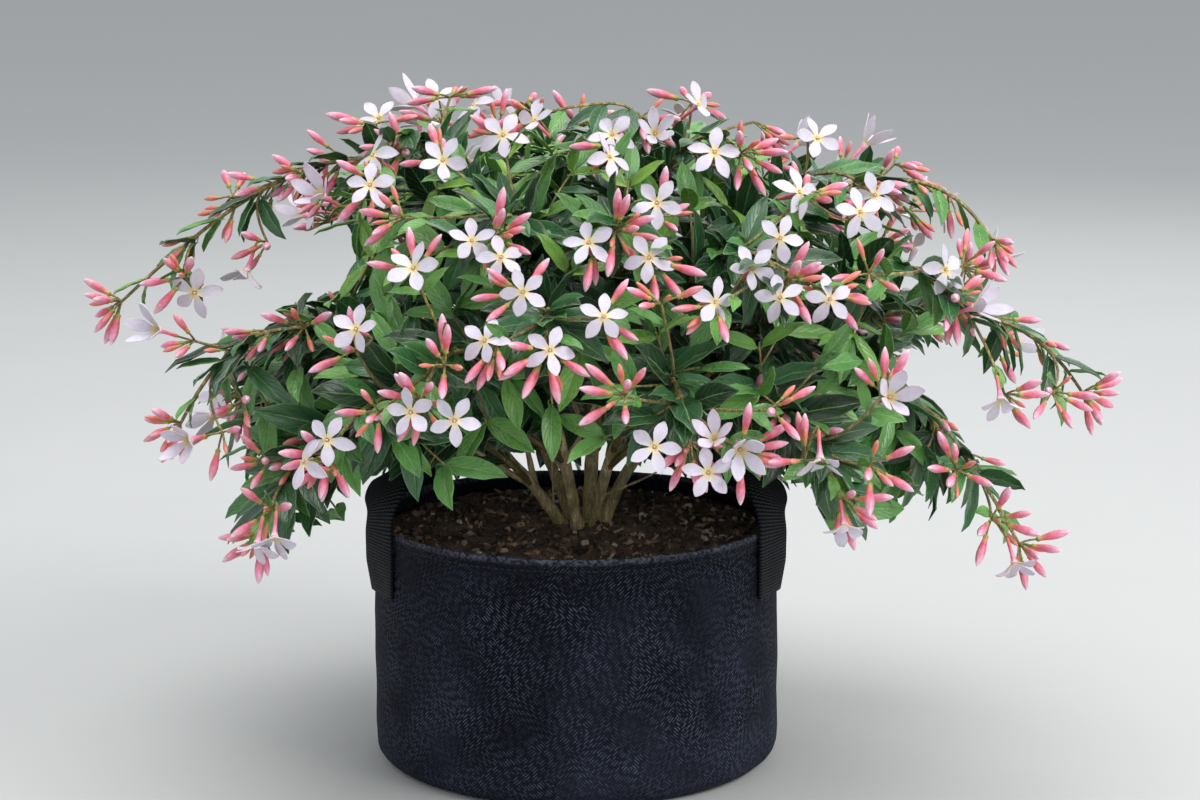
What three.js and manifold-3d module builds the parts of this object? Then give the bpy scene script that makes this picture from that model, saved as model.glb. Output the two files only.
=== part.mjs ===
// Potted downy jasmine in a round fabric grow bag.
// Millimetres, Z up. The origin is the middle of the bag's flat underside and the front faces -Y.

import * as THREE from 'three';
import { mergeVertices } from 'three/addons/utils/BufferGeometryUtils.js';
import Module from 'manifold-3d';

const wasm = await Module();
wasm.setup();

// Driving dimensions

const FIT = 0.3; // gap between pieces that touch

const BAG = { radius: 150, height: 185, cloth: 2.6, corner: 13, sides: 48 };
const HEM = { height: 12, proud: 0.9 };
const BASE_THICK = 3;

const STRAP = {
  width: 38,
  thick: 2.6,
  foot: 136, // lower end of the legs, sewn on the wall
  rise: 35, // middle of the loop above the rim
  lay: 1.7, // how far the band lies over, as the rise of its face for each unit outwards
  frontAngle: 68, // legs, in degrees round from the front
  rearAngle: 129,
  steps: 26,
};

// The band of a handle over the rim: [share of the way back, share of the rise, how far it lies inwards]
const BAND = [[0.05, 0.72, 4], [0.24, 0.98, 14], [0.5, 0.92, 22], [0.76, 0.86, 14], [0.95, 0.62, 4]];

const SOIL = { edge: 171, middle: 176, rings: 3 };
const CROWN = { x: 6, y: 0, radius: 18, foot: 122, neck: 168, top: 181 };
const SOCKET_DEPTH = 1.04; // the crown's room in the soil, as a share of its depth below the neck

const LEAF = { length: 50, width: 18, thick: 1.1, droop: 0.16, pairs: 3, first: 0.42, last: 0.92, lean: 1.0 };
const BUD = { length: 27, radius: 3.5, lean: 0.42, spread: 0.2 };
const FLOWER = { radius: 18, tube: 20, petals: 5, notch: 0.36, lean: 0.25, spread: 0.45 };
const HEAD = { stalk: 9, open: 1, buds: 5 };
const SHOOT = { foot: 2.7, tip: 1.5 };
const TWIG = { radius: 1.15, back: 26, low: 0.3, high: 0.93 };
const KNOT = 2.6; // swelling where the stalks of a cluster meet
const CANOPY = { middle: 245, rise: 0.9 }; // the height that it spreads from, and how far up it leans
const TRIES = { flower: 6, bud: 5, leaf: 8 }; // turns tried before a piece is left out for want of room
const OWN_ROOM = 16; // within this of its root a piece may touch what bears it

// Main stems: foot beside the crown's middle, a bend, and the upper end

const STEMS = {
  left: { foot: [-11.5, -2], bend: [-29, -14, 208], top: [-62, -30, 246], thick: 4.4 },
  left_rear: { foot: [-7, 9], bend: [-18, 22, 220], top: [-46, 50, 270], thick: 4.2 },
  centre: { foot: [-4, -11], bend: [-6, -16, 222], top: [-18, -38, 274], thick: 4.6 },
  rear: { foot: [4, 11], bend: [9, 26, 225], top: [20, 62, 284], thick: 5.0 },
  right: { foot: [7, -9.5], bend: [17, -18, 218], top: [38, -42, 266], thick: 4.4 },
  right_rear: { foot: [12.5, 1.5], bend: [30, 14, 212], top: [76, 34, 262], thick: 4.4 },
};

// Long shoots: the stem that bears each and how far up it, then how the shoot rises and arches over,
// each as [share of the way out, height], and its tip. A headed one ends in a flower head of its own

const SHOOTS = {
  left_high: { stem: 'left', at: 1.0, rise: [0.05, 520], crest: [0.47, 490], tip: [-322, -60, 362] },
  left_middle: { stem: 'left', at: 0.66, rise: [0.36, 292], crest: [0.72, 415], tip: [-272, -150, 292] },
  left_low: { stem: 'left', at: 0.48, rise: [0.3, 285], crest: [0.8, 330], tip: [-214, -190, 222] },
  left_front: { stem: 'centre', at: 0.56, rise: [0.3, 280], crest: [0.78, 350], tip: [-160, -252, 290] },
  top_left: { stem: 'left_rear', at: 0.8, rise: [0.3, 350], crest: [0.78, 496], tip: [-118, -62, 472] },
  front_left: { stem: 'centre', at: 0.7, rise: [0.3, 298], crest: [0.78, 385], tip: [-98, -275, 332] },
  front_middle: { stem: 'centre', at: 0.84, rise: [0.3, 315], crest: [0.78, 415], tip: [-18, -276, 366] },
  front_high: { stem: 'centre', at: 1.0, rise: [0.3, 416], crest: [0.78, 452], tip: [-52, -216, 430] },
  front_right: { stem: 'right', at: 0.7, rise: [0.3, 295], crest: [0.78, 375], tip: [76, -284, 306] },
  front_top: { stem: 'right', at: 0.84, rise: [0.3, 330], crest: [0.78, 452], tip: [28, -218, 434] },
  right_front: { stem: 'right', at: 0.56, rise: [0.3, 285], crest: [0.78, 352], tip: [176, -258, 262] },
  right_upper: { stem: 'right', at: 1.0, rise: [0.3, 398], crest: [0.78, 430], tip: [138, -226, 402] },
  top_middle: { stem: 'rear', at: 0.82, rise: [0.3, 356], crest: [0.78, 500], tip: [45, -62, 492] },
  top_right: { stem: 'rear', at: 1.0, rise: [0.3, 454], crest: [0.78, 496], tip: [112, -112, 474] },
  right_low: { stem: 'right_rear', at: 0.52, rise: [0.15, 385], crest: [0.66, 372], tip: [312, -128, 200] },
  right_long: { stem: 'right_rear', at: 0.7, rise: [0.3, 320], crest: [0.78, 400], tip: [364, -60, 296] },
  right_middle: { stem: 'right_rear', at: 0.88, rise: [0.3, 325], crest: [0.78, 430], tip: [256, -168, 382] },
  right_high: { stem: 'right_rear', at: 1.0, rise: [0.3, 438], crest: [0.78, 480], tip: [294, -70, 410] },
  right_top: { stem: 'rear', at: 0.92, rise: [0.3, 358], crest: [0.78, 482], tip: [202, -98, 446] },
  rear_left_low: { stem: 'left_rear', at: 0.5, rise: [0.3, 290], crest: [0.78, 375], tip: [-262, 140, 252] },
  rear_left: { stem: 'left_rear', at: 1.0, rise: [0.3, 418], crest: [0.78, 455], tip: [-195, 195, 385] },
  rear_top: { stem: 'rear', at: 0.62, rise: [0.3, 338], crest: [0.78, 490], tip: [-40, 150, 478] },
  rear_middle: { stem: 'rear', at: 0.5, rise: [0.3, 300], crest: [0.78, 420], tip: [-30, 292, 318] },
  rear_right: { stem: 'rear', at: 0.72, rise: [0.3, 330], crest: [0.78, 455], tip: [186, 212, 390] },
  rear_right_low: { stem: 'right_rear', at: 0.6, rise: [0.3, 285], crest: [0.78, 360], tip: [268, 160, 228] },
};

const UNHEADED = ['right_top', 'rear_left_low', 'rear_top', 'rear_right_low'];

// Side clusters, each [x, y, z, open flowers, buds], borne on twigs from the nearest shoot

const CLUSTERS = [
  // left side
  [-278, -92, 378, 1, 2], [-222, -60, 398, 1, 2], [-250, -30, 438, 0, 2], [-195, -50, 446, 0, 2],
  [-232, -150, 300, 0, 2], [-188, -150, 352, 0, 2], [-148, -208, 346, 1, 2], [-212, -176, 262, 0, 3],
  [-205, -232, 240, 0, 2],
  // upper left
  [-145, -40, 482, 1, 2], [-138, -138, 452, 2, 2], [-92, -5, 498, 1, 2], [-92, -142, 468, 1, 2],
  [-50, -118, 482, 1, 2],
  // front
  [-106, -232, 404, 1, 2], [-116, -188, 434, 0, 3], [-50, -286, 364, 1, 2], [14, -236, 424, 1, 2],
  [52, -244, 414, 1, 2], [-34, -262, 394, 1, 2], [18, -276, 380, 1, 2], [-128, -280, 318, 1, 2],
  [-84, -284, 350, 0, 3], [34, -298, 332, 0, 4], [58, -268, 388, 0, 2], [110, -300, 296, 0, 3],
  [94, -262, 386, 1, 2],
  // top
  [-28, -88, 494, 1, 2], [27, -140, 478, 1, 2], [84, -42, 498, 1, 2], [128, -60, 486, 0, 3],
  // right side
  [166, -70, 474, 1, 2], [158, -160, 446, 1, 2], [232, -30, 452, 0, 3], [170, -232, 390, 1, 2],
  [200, -205, 398, 0, 2], [272, -128, 392, 0, 3], [206, -262, 326, 0, 3], [296, -190, 312, 1, 2],
  [338, -120, 300, 0, 3], [262, -205, 262, 0, 3], [290, -180, 222, 0, 3], [152, -292, 288, 1, 2],
  [196, -280, 282, 0, 2], [130, -292, 322, 0, 2],
  // rear
  [-120, 120, 452, 1, 2], [-232, 150, 330, 0, 2], [-262, 60, 372, 0, 2], [-140, 240, 330, 1, 2],
  [-80, 210, 410, 0, 3], [20, 236, 392, 1, 2], [96, 232, 352, 0, 3], [60, 130, 476, 1, 2],
  [150, 120, 452, 0, 2], [236, 130, 380, 1, 2], [250, 40, 420, 0, 3], [320, 60, 300, 0, 2],
];

// Materials

const material = (color, roughness) => new THREE.MeshStandardMaterial({ color, roughness, metalness: 0 });

const CLOTH = material(0x1d2026, 0.92);
const WEBBING = material(0x15171c, 0.85);
const EARTH = material(0x2b1c13, 0.95);
const BARK = material(0x7a6338, 0.8);
const GREEN_WOOD = material(0x59632c, 0.65);
const PINK = material(0xe98c94, 0.5);

// Solids: closed meshes joined and cut exactly

function vector([x, y, z]) {
  return new THREE.Vector3(x, y, z);
}

function solid(geometry) {
  const bare = geometry.clone();
  for (const name of Object.keys(bare.attributes)) {
    if (name !== 'position') bare.deleteAttribute(name);
  }
  const merged = mergeVertices(bare, 1e-4);
  const corners = merged.index.array;
  const kept = [];
  for (let i = 0; i < corners.length; i += 3) {
    const [a, b, c] = corners.slice(i, i + 3);
    if (a !== b && b !== c && c !== a) kept.push(a, b, c);
  }
  return new wasm.Manifold(new wasm.Mesh({
    numProp: 3,
    vertProperties: new Float32Array(merged.attributes.position.array),
    triVerts: new Uint32Array(kept),
  }));
}

function geometryOf(manifold) {
  const mesh = manifold.getMesh();
  const geometry = new THREE.BufferGeometry();
  geometry.setAttribute('position', new THREE.BufferAttribute(mesh.vertProperties, 3));
  geometry.setIndex(new THREE.BufferAttribute(mesh.triVerts, 1));
  geometry.computeVertexNormals();
  return geometry;
}

function joined(solids) {
  return solids.reduce((whole, next) => whole.add(next));
}

// A closed bar whose oval section follows a curve: half its width along `across`, half its depth beside it
function bar(curve, across, sides, steps, halfWidth, halfDepth = halfWidth) {
  const geometry = new THREE.CylinderGeometry(1, 1, 1, sides, steps);
  const spots = geometry.attributes.position;
  for (let i = 0; i < spots.count; i += 1) {
    const t = spots.getY(i) + 0.5;
    const ahead = curve.getTangent(t);
    const wide = across.clone().addScaledVector(ahead, -across.dot(ahead)).normalize();
    const deep = new THREE.Vector3().crossVectors(wide, ahead);
    const spot = curve.getPoint(t);
    spot.addScaledVector(wide, spots.getX(i) * halfWidth(t));
    spot.addScaledVector(deep, spots.getZ(i) * halfDepth(t));
    spots.setXYZ(i, spot.x, spot.y, spot.z);
  }
  return solid(geometry);
}

function ring(profile, sides) {
  const geometry = new THREE.LatheGeometry(profile.map(([r, z]) => new THREE.Vector2(r, z)), sides);
  return solid(geometry.rotateX(Math.PI / 2));
}

function part(name, manifold, look) {
  const mesh = new THREE.Mesh(geometryOf(manifold), look);
  mesh.name = name;
  return mesh;
}

// Fabric bag: wall, base disc and hem

function arcPoints(radius, height, corner, steps) {
  return Array.from({ length: steps + 1 }, (_, i) => {
    const turn = (i / steps) * Math.PI / 2;
    return [radius - corner + corner * Math.sin(turn), height + corner - corner * Math.cos(turn)];
  });
}

function bagWall() {
  const top = BAG.height - HEM.height - FIT;
  const outside = arcPoints(BAG.radius, 0, BAG.corner, 3);
  const inside = arcPoints(BAG.radius - BAG.cloth, BAG.cloth, BAG.corner - BAG.cloth, 3).reverse();
  const inner = BAG.radius - BAG.cloth;
  return ring([...outside, [BAG.radius, top], [inner, top], ...inside, outside[0]], BAG.sides);
}

function bagBase() {
  const radius = BAG.radius - BAG.corner - FIT;
  return solid(new THREE.CylinderGeometry(radius, radius, BASE_THICK, BAG.sides)
    .rotateX(Math.PI / 2).translate(0, 0, BASE_THICK / 2));
}

function hem() {
  const low = BAG.height - HEM.height;
  const outer = BAG.radius + HEM.proud;
  const inner = BAG.radius - BAG.cloth - HEM.proud;
  const edge = 1.6;
  return ring([
    [inner, low], [outer, low], [outer, BAG.height - edge], [outer - edge, BAG.height],
    [inner + edge, BAG.height], [inner, BAG.height - edge], [inner, low],
  ], BAG.sides);
}

// Webbing handles: two legs sewn flat on the wall, joined by a band that turns on its side above the rim

function strapPath(hand) {
  const outside = BAG.radius + HEM.proud + FIT + STRAP.thick / 2;
  const onWall = (degrees, z, lean = 0) => {
    const angle = THREE.MathUtils.degToRad(degrees);
    const reach = outside - lean;
    return new THREE.Vector3(hand * reach * Math.sin(angle), -reach * Math.cos(angle), z);
  };
  const { frontAngle, rearAngle, foot, rise } = STRAP;
  const rim = BAG.height;
  const span = rearAngle - frontAngle;
  const leg = (degrees) => [foot, (foot + rim) / 2, rim + 2].map((z) => onWall(degrees, z));
  const band = BAND.map(([back, up, lean]) => onWall(frontAngle + back * span, rim + up * rise, lean));
  const path = [...leg(frontAngle), ...band, ...leg(rearAngle).reverse()];
  return new THREE.CatmullRomCurve3(path, false, 'centripetal');
}

function strap(hand) {
  const path = strapPath(hand);
  const geometry = new THREE.BoxGeometry(1, 1, 1, 1, 1, STRAP.steps);
  const spots = geometry.attributes.position;
  for (let i = 0; i < spots.count; i += 1) {
    const t = spots.getZ(i) + 0.5;
    const spot = path.getPointAt(t);
    const ahead = path.getTangentAt(t);
    const out = new THREE.Vector3(spot.x, spot.y, 0).normalize();
    const above = THREE.MathUtils.smoothstep(spot.z, BAG.height, BAG.height + STRAP.rise * 0.8);
    const normal = out.addScaledVector(new THREE.Vector3(0, 0, 1), STRAP.lay * above);
    normal.addScaledVector(ahead, -normal.dot(ahead)).normalize();
    const wide = new THREE.Vector3().crossVectors(normal, ahead);
    spot.addScaledVector(wide, spots.getX(i) * STRAP.width);
    spot.addScaledVector(normal, spots.getY(i) * STRAP.thick);
    spots.setXYZ(i, spot.x, spot.y, spot.z);
  }
  return solid(geometry);
}

// Root crown and main stems

function crown() {
  return ring([
    [0, CROWN.foot], [CROWN.radius * 0.55, CROWN.foot + 4], [CROWN.radius, CROWN.neck - 14],
    [CROWN.radius * 0.9, CROWN.neck], [CROWN.radius * 0.5, CROWN.top - 2], [0, CROWN.top],
  ], 12).translate([CROWN.x, CROWN.y, 0]);
}

function stemCurve({ foot, bend, top }) {
  const start = new THREE.Vector3(CROWN.x + foot[0], CROWN.y + foot[1], CROWN.neck);
  return new THREE.QuadraticBezierCurve3(start, vector(bend), vector(top));
}

function sidewaysOf(curve) {
  const run = curve.getPoint(1).sub(curve.getPoint(0));
  return new THREE.Vector3(run.y, -run.x, 0).normalize();
}

function stemSolid(stem, extra = 0) {
  const curve = stemCurve(stem);
  return bar(curve, sidewaysOf(curve), 7, 5, (t) => stem.thick * (1.12 - 0.34 * t) + extra);
}

// Space already filled by the plant, as balls, so that later pieces keep clear of it

const filled = [];

function ballsAlong(curve, radius, owner, pitch = 5) {
  const count = Math.ceil(curve.getLength() / pitch);
  return Array.from({ length: count + 1 }, (_, i) => (
    { spot: curve.getPoint(i / count), radius: radius(i / count), owner }));
}

function isClear(balls, owner, root) {
  return balls.every((ball) => filled.every((other) => {
    if (other.owner === owner && ball.spot.distanceTo(root) < OWN_ROOM) return true;
    const apart = other.owner === owner ? 0.2 : 2 * FIT;
    return ball.spot.distanceTo(other.spot) > ball.radius + other.radius + apart;
  }));
}

// Long shoots

function shootCurve({ stem, at, rise, crest, tip }) {
  const start = stemCurve(STEMS[stem]).getPoint(at);
  const end = vector(tip);
  const bends = [rise, crest].map(([share, height]) => start.clone().lerp(end, share).setZ(height));
  return new THREE.CubicBezierCurve3(start, ...bends, end);
}

const shootRadius = (t) => SHOOT.foot + (SHOOT.tip - SHOOT.foot) * t;

// A direction that leans `tilt` radians away from `axis`, turned round it by `turn`
function leaning(axis, tilt, turn) {
  const flat = Math.abs(axis.z) > 0.9 ? new THREE.Vector3(1, 0, 0) : new THREE.Vector3(0, 0, 1);
  const beside = new THREE.Vector3().crossVectors(axis, flat).normalize();
  beside.applyAxisAngle(axis, turn);
  return axis.clone().multiplyScalar(Math.cos(tilt)).addScaledVector(beside, Math.sin(tilt));
}

// Flowers, buds and leaves

const GOLDEN_TURN = Math.PI * (3 - Math.sqrt(5));

function bud(root, direction, length) {
  const curve = new THREE.LineCurve3(root, root.clone().addScaledVector(direction, length));
  const side = leaning(direction, Math.PI / 2, 0);
  const half = (t) => (t > 0.2 && t < 0.8 ? BUD.radius : 0);
  return {
    make: () => bar(curve, side, 3, 2, half),
    balls: ballsAlong(curve, (t) => (t > 0.3 ? BUD.radius : 1)),
  };
}

function flower(root, direction) {
  const face = root.clone().addScaledVector(direction, FLOWER.tube);
  const make = () => {
    const geometry = new THREE.ConeGeometry(FLOWER.radius, FLOWER.tube, 2 * FLOWER.petals);
    geometry.rotateX(Math.PI);
    const spots = geometry.attributes.position;
    for (let i = 0; i < spots.count; i += 1) {
      const turn = Math.atan2(spots.getX(i), spots.getZ(i));
      const between = Math.cos(FLOWER.petals * turn) < 0;
      const pull = between ? FLOWER.notch : 1;
      spots.setXYZ(i, spots.getX(i) * pull, spots.getY(i) + FLOWER.tube / 2, spots.getZ(i) * pull);
    }
    const turned = new THREE.Quaternion().setFromUnitVectors(new THREE.Vector3(0, 1, 0), direction);
    return solid(geometry.applyQuaternion(turned).translate(root.x, root.y, root.z));
  };
  const room = FLOWER.radius / 3;
  const rim = Array.from({ length: 8 }, (_, i) => (
    face.clone().addScaledVector(leaning(direction, Math.PI / 2, i * Math.PI / 4), 2 * room)));
  const throat = root.clone().lerp(face, 0.6);
  const balls = [throat, face, ...rim].map((spot) => ({ spot, radius: room }));
  return { make, balls };
}

function leaf(root, direction, across) {
  const droop = new THREE.Vector3(0, 0, -LEAF.droop * LEAF.length);
  const middle = root.clone().addScaledVector(direction, LEAF.length * 0.5);
  const end = root.clone().addScaledVector(direction, LEAF.length).add(droop);
  const curve = new THREE.QuadraticBezierCurve3(root, middle, end);
  const shape = (t) => Math.sin(Math.PI * Math.min(1, t * 1.05) ** 0.85);
  const halfWidth = (t) => Math.max(t < 0.1 ? 1 : 0, t > 0.99 ? 0 : shape(t) * LEAF.width / 2);
  const halfDepth = (t) => (t > 0.99 ? 0 : LEAF.thick / 2 + 0.3 * shape(t));
  return {
    make: () => bar(curve, across, 4, 2, halfWidth, halfDepth),
    balls: ballsAlong(curve, (t) => Math.max(1.5, halfWidth(t) * 0.8), null, 8),
  };
}

function place(found, thing, owner, root) {
  if (!isClear(thing.balls, owner, root)) return false;
  filled.push(...thing.balls.map((ball) => ({ ...ball, owner })));
  found.push(thing.make());
  return true;
}

// A cluster of buds and open flowers round the end of its stalk
function cluster(found, knot, axis, open, buds, owner) {
  found.push(solid(new THREE.OctahedronGeometry(KNOT, 0).translate(knot.x, knot.y, knot.z)));
  filled.push({ spot: knot, radius: KNOT, owner });
  for (let i = 0; i < open; i += 1) {
    const tilt = FLOWER.lean + FLOWER.spread * i;
    for (let turn = 0; turn < TRIES.flower; turn += 1) {
      const direction = leaning(axis, tilt, (i + turn) * GOLDEN_TURN);
      if (place(found, flower(knot, direction), owner, knot)) break;
    }
  }
  for (let i = 0; i < buds; i += 1) {
    const tilt = BUD.lean + BUD.spread * (i % 3);
    const length = BUD.length * (1 + 0.18 * ((i * 2) % 3) - 0.12);
    for (let turn = 0; turn < TRIES.bud; turn += 1) {
      const direction = leaning(axis, tilt + 0.12 * turn, (i + turn * 0.7) * GOLDEN_TURN);
      if (place(found, bud(knot, direction, length), owner, knot)) break;
    }
  }
}

function outward(spot) {
  return new THREE.Vector3(spot.x, spot.y, CANOPY.rise * (spot.z - CANOPY.middle)).normalize();
}

// The shoot nearest a cluster, and where on it the cluster's twig leaves
function nearestShoot(spot, curves) {
  let best = { gap: Infinity };
  for (const [name, curve] of Object.entries(curves)) {
    for (let t = TWIG.low; t < TWIG.high; t += 0.02) {
      const gap = curve.getPoint(t).distanceTo(spot);
      if (gap < best.gap) best = { name, curve, t, gap };
    }
  }
  const back = TWIG.back / best.curve.getLength();
  return { ...best, t: Math.max(0.25, best.t - back) };
}

function growSideCluster(solids, curves, [x, y, z, open, buds]) {
  const knot = new THREE.Vector3(x, y, z);
  const bearer = nearestShoot(knot, curves);
  const root = bearer.curve.getPoint(bearer.t);
  const ahead = bearer.curve.getTangent(bearer.t);
  const reach = knot.distanceTo(root);
  const middle = root.clone().addScaledVector(ahead, reach * 0.45);
  const twig = new THREE.QuadraticBezierCurve3(root, middle, knot);
  const side = leaning(twig.getTangent(0.5), Math.PI / 2, 0);
  const owner = bearer.name;
  const balls = ballsAlong(twig, () => TWIG.radius, owner, 3);
  if (!isClear(balls, owner, root)) return false;
  filled.push(...balls);
  solids[owner].push(bar(twig, side, 3, 2, () => TWIG.radius));
  const axis = twig.getTangent(1).add(outward(knot)).normalize();
  cluster(solids[owner], knot, axis, open, buds, owner);
  return true;
}

function growLeaves(solids, curves) {
  for (const [owner, curve] of Object.entries(curves)) {
    for (let pair = 0; pair < LEAF.pairs; pair += 1) {
      const t = LEAF.first + (LEAF.last - LEAF.first) * (pair / (LEAF.pairs - 1));
      const root = curve.getPoint(t);
      const ahead = curve.getTangent(t);
      for (let half = 0; half < 2; half += 1) {
        for (let turn = 0; turn < TRIES.leaf; turn += 1) {
          const angle = pair * Math.PI / 2 + half * Math.PI + turn * 0.42;
          const direction = leaning(ahead, LEAF.lean, angle);
          const across = new THREE.Vector3().crossVectors(direction, ahead).normalize();
          if (place(solids[owner], leaf(root, direction, across), owner, root)) break;
        }
      }
    }
  }
}

// The whole plant

function buildPlant(group) {
  const crownSolid = crown();
  const crownRoom = crownSolid.translate([-CROWN.x, -CROWN.y, -CROWN.neck])
    .scale([1 + FIT / CROWN.radius * 2, 1 + FIT / CROWN.radius * 2, SOCKET_DEPTH])
    .translate([CROWN.x, CROWN.y, CROWN.neck]);
  group.add(part('root_crown', crownSolid, BARK));

  const stemRooms = {};
  for (const [name, stem] of Object.entries(STEMS)) {
    stemRooms[name] = stemSolid(stem, FIT);
    group.add(part(`main_stem_${name}`, stemSolid(stem).subtract(crownRoom), BARK));
    filled.push(...ballsAlong(stemCurve(stem), () => stem.thick * 1.1, `main_stem_${name}`));
  }

  const curves = {};
  const solids = {};
  for (const [name, shoot] of Object.entries(SHOOTS)) {
    const curve = shootCurve(shoot);
    curves[name] = curve;
    solids[name] = [bar(curve, sidewaysOf(curve), 5, 9, shootRadius)];
    filled.push(...ballsAlong(curve, shootRadius, name, 3));
  }

  for (const name of Object.keys(SHOOTS)) {
    const tip = curves[name].getPoint(1);
    const axis = curves[name].getTangent(1);
    if (!UNHEADED.includes(name)) {
      const owner = `flower_head_${name}`;
      const foot = tip.clone().addScaledVector(axis, FIT);
      const knot = tip.clone().addScaledVector(axis, HEAD.stalk);
      const stalk = bar(new THREE.LineCurve3(foot, knot), leaning(axis, Math.PI / 2, 0), 5, 1,
        () => SHOOT.tip);
      const found = [stalk];
      cluster(found, knot, axis.clone().add(outward(knot)).normalize(), HEAD.open, HEAD.buds, owner);
      group.add(part(owner, joined(found), PINK));
    } else {
      cluster(solids[name], tip, axis, HEAD.open, HEAD.buds - 1, name);
    }
  }

  for (const row of CLUSTERS) growSideCluster(solids, curves, row);
  growLeaves(solids, curves);

  for (const [name, shoot] of Object.entries(SHOOTS)) {
    const whole = joined(solids[name]).subtract(stemRooms[shoot.stem]);
    group.add(part(`shoot_${name}`, whole, GREEN_WOOD));
  }
  return joined([crownRoom, ...Object.values(stemRooms)]);
}

function soil(plantRoom) {
  const edge = BAG.radius - BAG.cloth - HEM.proud - FIT;
  const floor = BASE_THICK + FIT + 0.1;
  const low = BAG.radius - BAG.corner - FIT;
  const profile = [[0, floor], [low, floor], [edge, BAG.corner + floor], [edge, SOIL.edge]];
  for (let i = SOIL.rings - 1; i >= 0; i -= 1) {
    const share = i / SOIL.rings;
    profile.push([edge * share, SOIL.edge + (SOIL.middle - SOIL.edge) * Math.cos(share * Math.PI / 2)]);
  }
  return ring(profile, BAG.sides).subtract(plantRoom);
}

const plant = new THREE.Group();
plant.add(part('bag_wall', bagWall(), CLOTH));
plant.add(part('bag_base', bagBase(), CLOTH));
plant.add(part('rim_hem', hem(), CLOTH));
plant.add(part('handle_left', strap(-1), WEBBING));
plant.add(part('handle_right', strap(1), WEBBING));
const plantRoom = buildPlant(plant);
plant.add(part('potting_soil', soil(plantRoom), EARTH));

export default plant;
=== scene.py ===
"""Potted downy jasmine in a fabric grow bag: every visible piece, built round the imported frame."""

import math
import random
from collections import namedtuple
from functools import cache
from itertools import product

import bmesh
import bpy
from bpy.props import FloatProperty, FloatVectorProperty, IntProperty, PointerProperty
from mathutils import Matrix, Quaternion, Vector


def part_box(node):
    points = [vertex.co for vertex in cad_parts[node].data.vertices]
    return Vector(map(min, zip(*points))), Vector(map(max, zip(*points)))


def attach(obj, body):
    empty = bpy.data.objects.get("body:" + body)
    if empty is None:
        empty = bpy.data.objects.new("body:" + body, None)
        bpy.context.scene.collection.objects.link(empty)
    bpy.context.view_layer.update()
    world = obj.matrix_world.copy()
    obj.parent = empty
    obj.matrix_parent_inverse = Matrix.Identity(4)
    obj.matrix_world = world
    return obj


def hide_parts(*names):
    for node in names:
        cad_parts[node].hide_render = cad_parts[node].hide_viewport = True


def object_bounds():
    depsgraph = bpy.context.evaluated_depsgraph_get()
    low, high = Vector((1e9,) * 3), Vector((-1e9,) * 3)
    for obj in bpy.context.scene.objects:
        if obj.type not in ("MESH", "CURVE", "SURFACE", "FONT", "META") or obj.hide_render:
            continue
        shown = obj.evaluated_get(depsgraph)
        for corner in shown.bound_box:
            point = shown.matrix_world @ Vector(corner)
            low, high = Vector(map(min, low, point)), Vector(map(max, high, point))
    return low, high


bl_info = {
    "name": "Potted Downy Jasmine",
    "version": (1, 0, 0),
    "blender": (4, 5, 0),
    "location": "3D View > Sidebar > Jasmine",
    "description": "Builds a downy jasmine in a fabric grow bag, piece by piece",
    "category": "Add Mesh",
}

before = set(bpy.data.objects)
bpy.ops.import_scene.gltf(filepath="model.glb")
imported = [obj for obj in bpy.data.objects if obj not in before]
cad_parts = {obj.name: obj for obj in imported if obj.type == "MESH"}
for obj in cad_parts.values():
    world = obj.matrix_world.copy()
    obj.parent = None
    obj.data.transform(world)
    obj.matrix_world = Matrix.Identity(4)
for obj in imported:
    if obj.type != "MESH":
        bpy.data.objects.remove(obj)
CAD_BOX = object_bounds()

MM = 0.001
TAU = 2 * math.pi
GOLDEN_TURN = math.pi * (3 - math.sqrt(5))
UP = Vector((0, 0, 1))

BAG_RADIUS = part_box("bag_wall")[1].x
WALL_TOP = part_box("bag_wall")[1].z
RIM_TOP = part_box("rim_hem")[1].z
HEM_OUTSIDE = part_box("rim_hem")[1].x
SOIL_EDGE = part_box("potting_soil")[1].x
SOIL_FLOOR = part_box("potting_soil")[0].z
CROWN_LOW, CROWN_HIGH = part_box("root_crown")

# The gap between pieces that touch
FIT = 0.0003

# Where the viewer's eye is
EYE = Vector((0.018, -2.35, 0.73))

# How far right of the bag's middle the stems rise
STEMS_AT = 0.006

# Distance between the twill's slanting lines
TWILL_PITCH = 0.0027

# The plant's habit, in millimetres

# Main stems: foot, bend, upper end and thickness
STEMS = {
    "left": ((-5.5, -2, 168), (-29, -14, 208), (-62, -30, 246), 4.4),
    "left_rear": ((-1, 9, 168), (-18, 22, 220), (-46, 50, 270), 4.2),
    "centre": ((2, -11, 168), (-6, -16, 222), (-18, -38, 274), 4.6),
    "rear": ((10, 11, 168), (9, 26, 225), (20, 62, 284), 5.0),
    "right": ((13, -9.5, 168), (17, -18, 218), (38, -42, 266), 4.4),
    "right_rear": ((18.5, 1.5, 168), (30, 14, 212), (76, 34, 262), 4.4),
}

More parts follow.
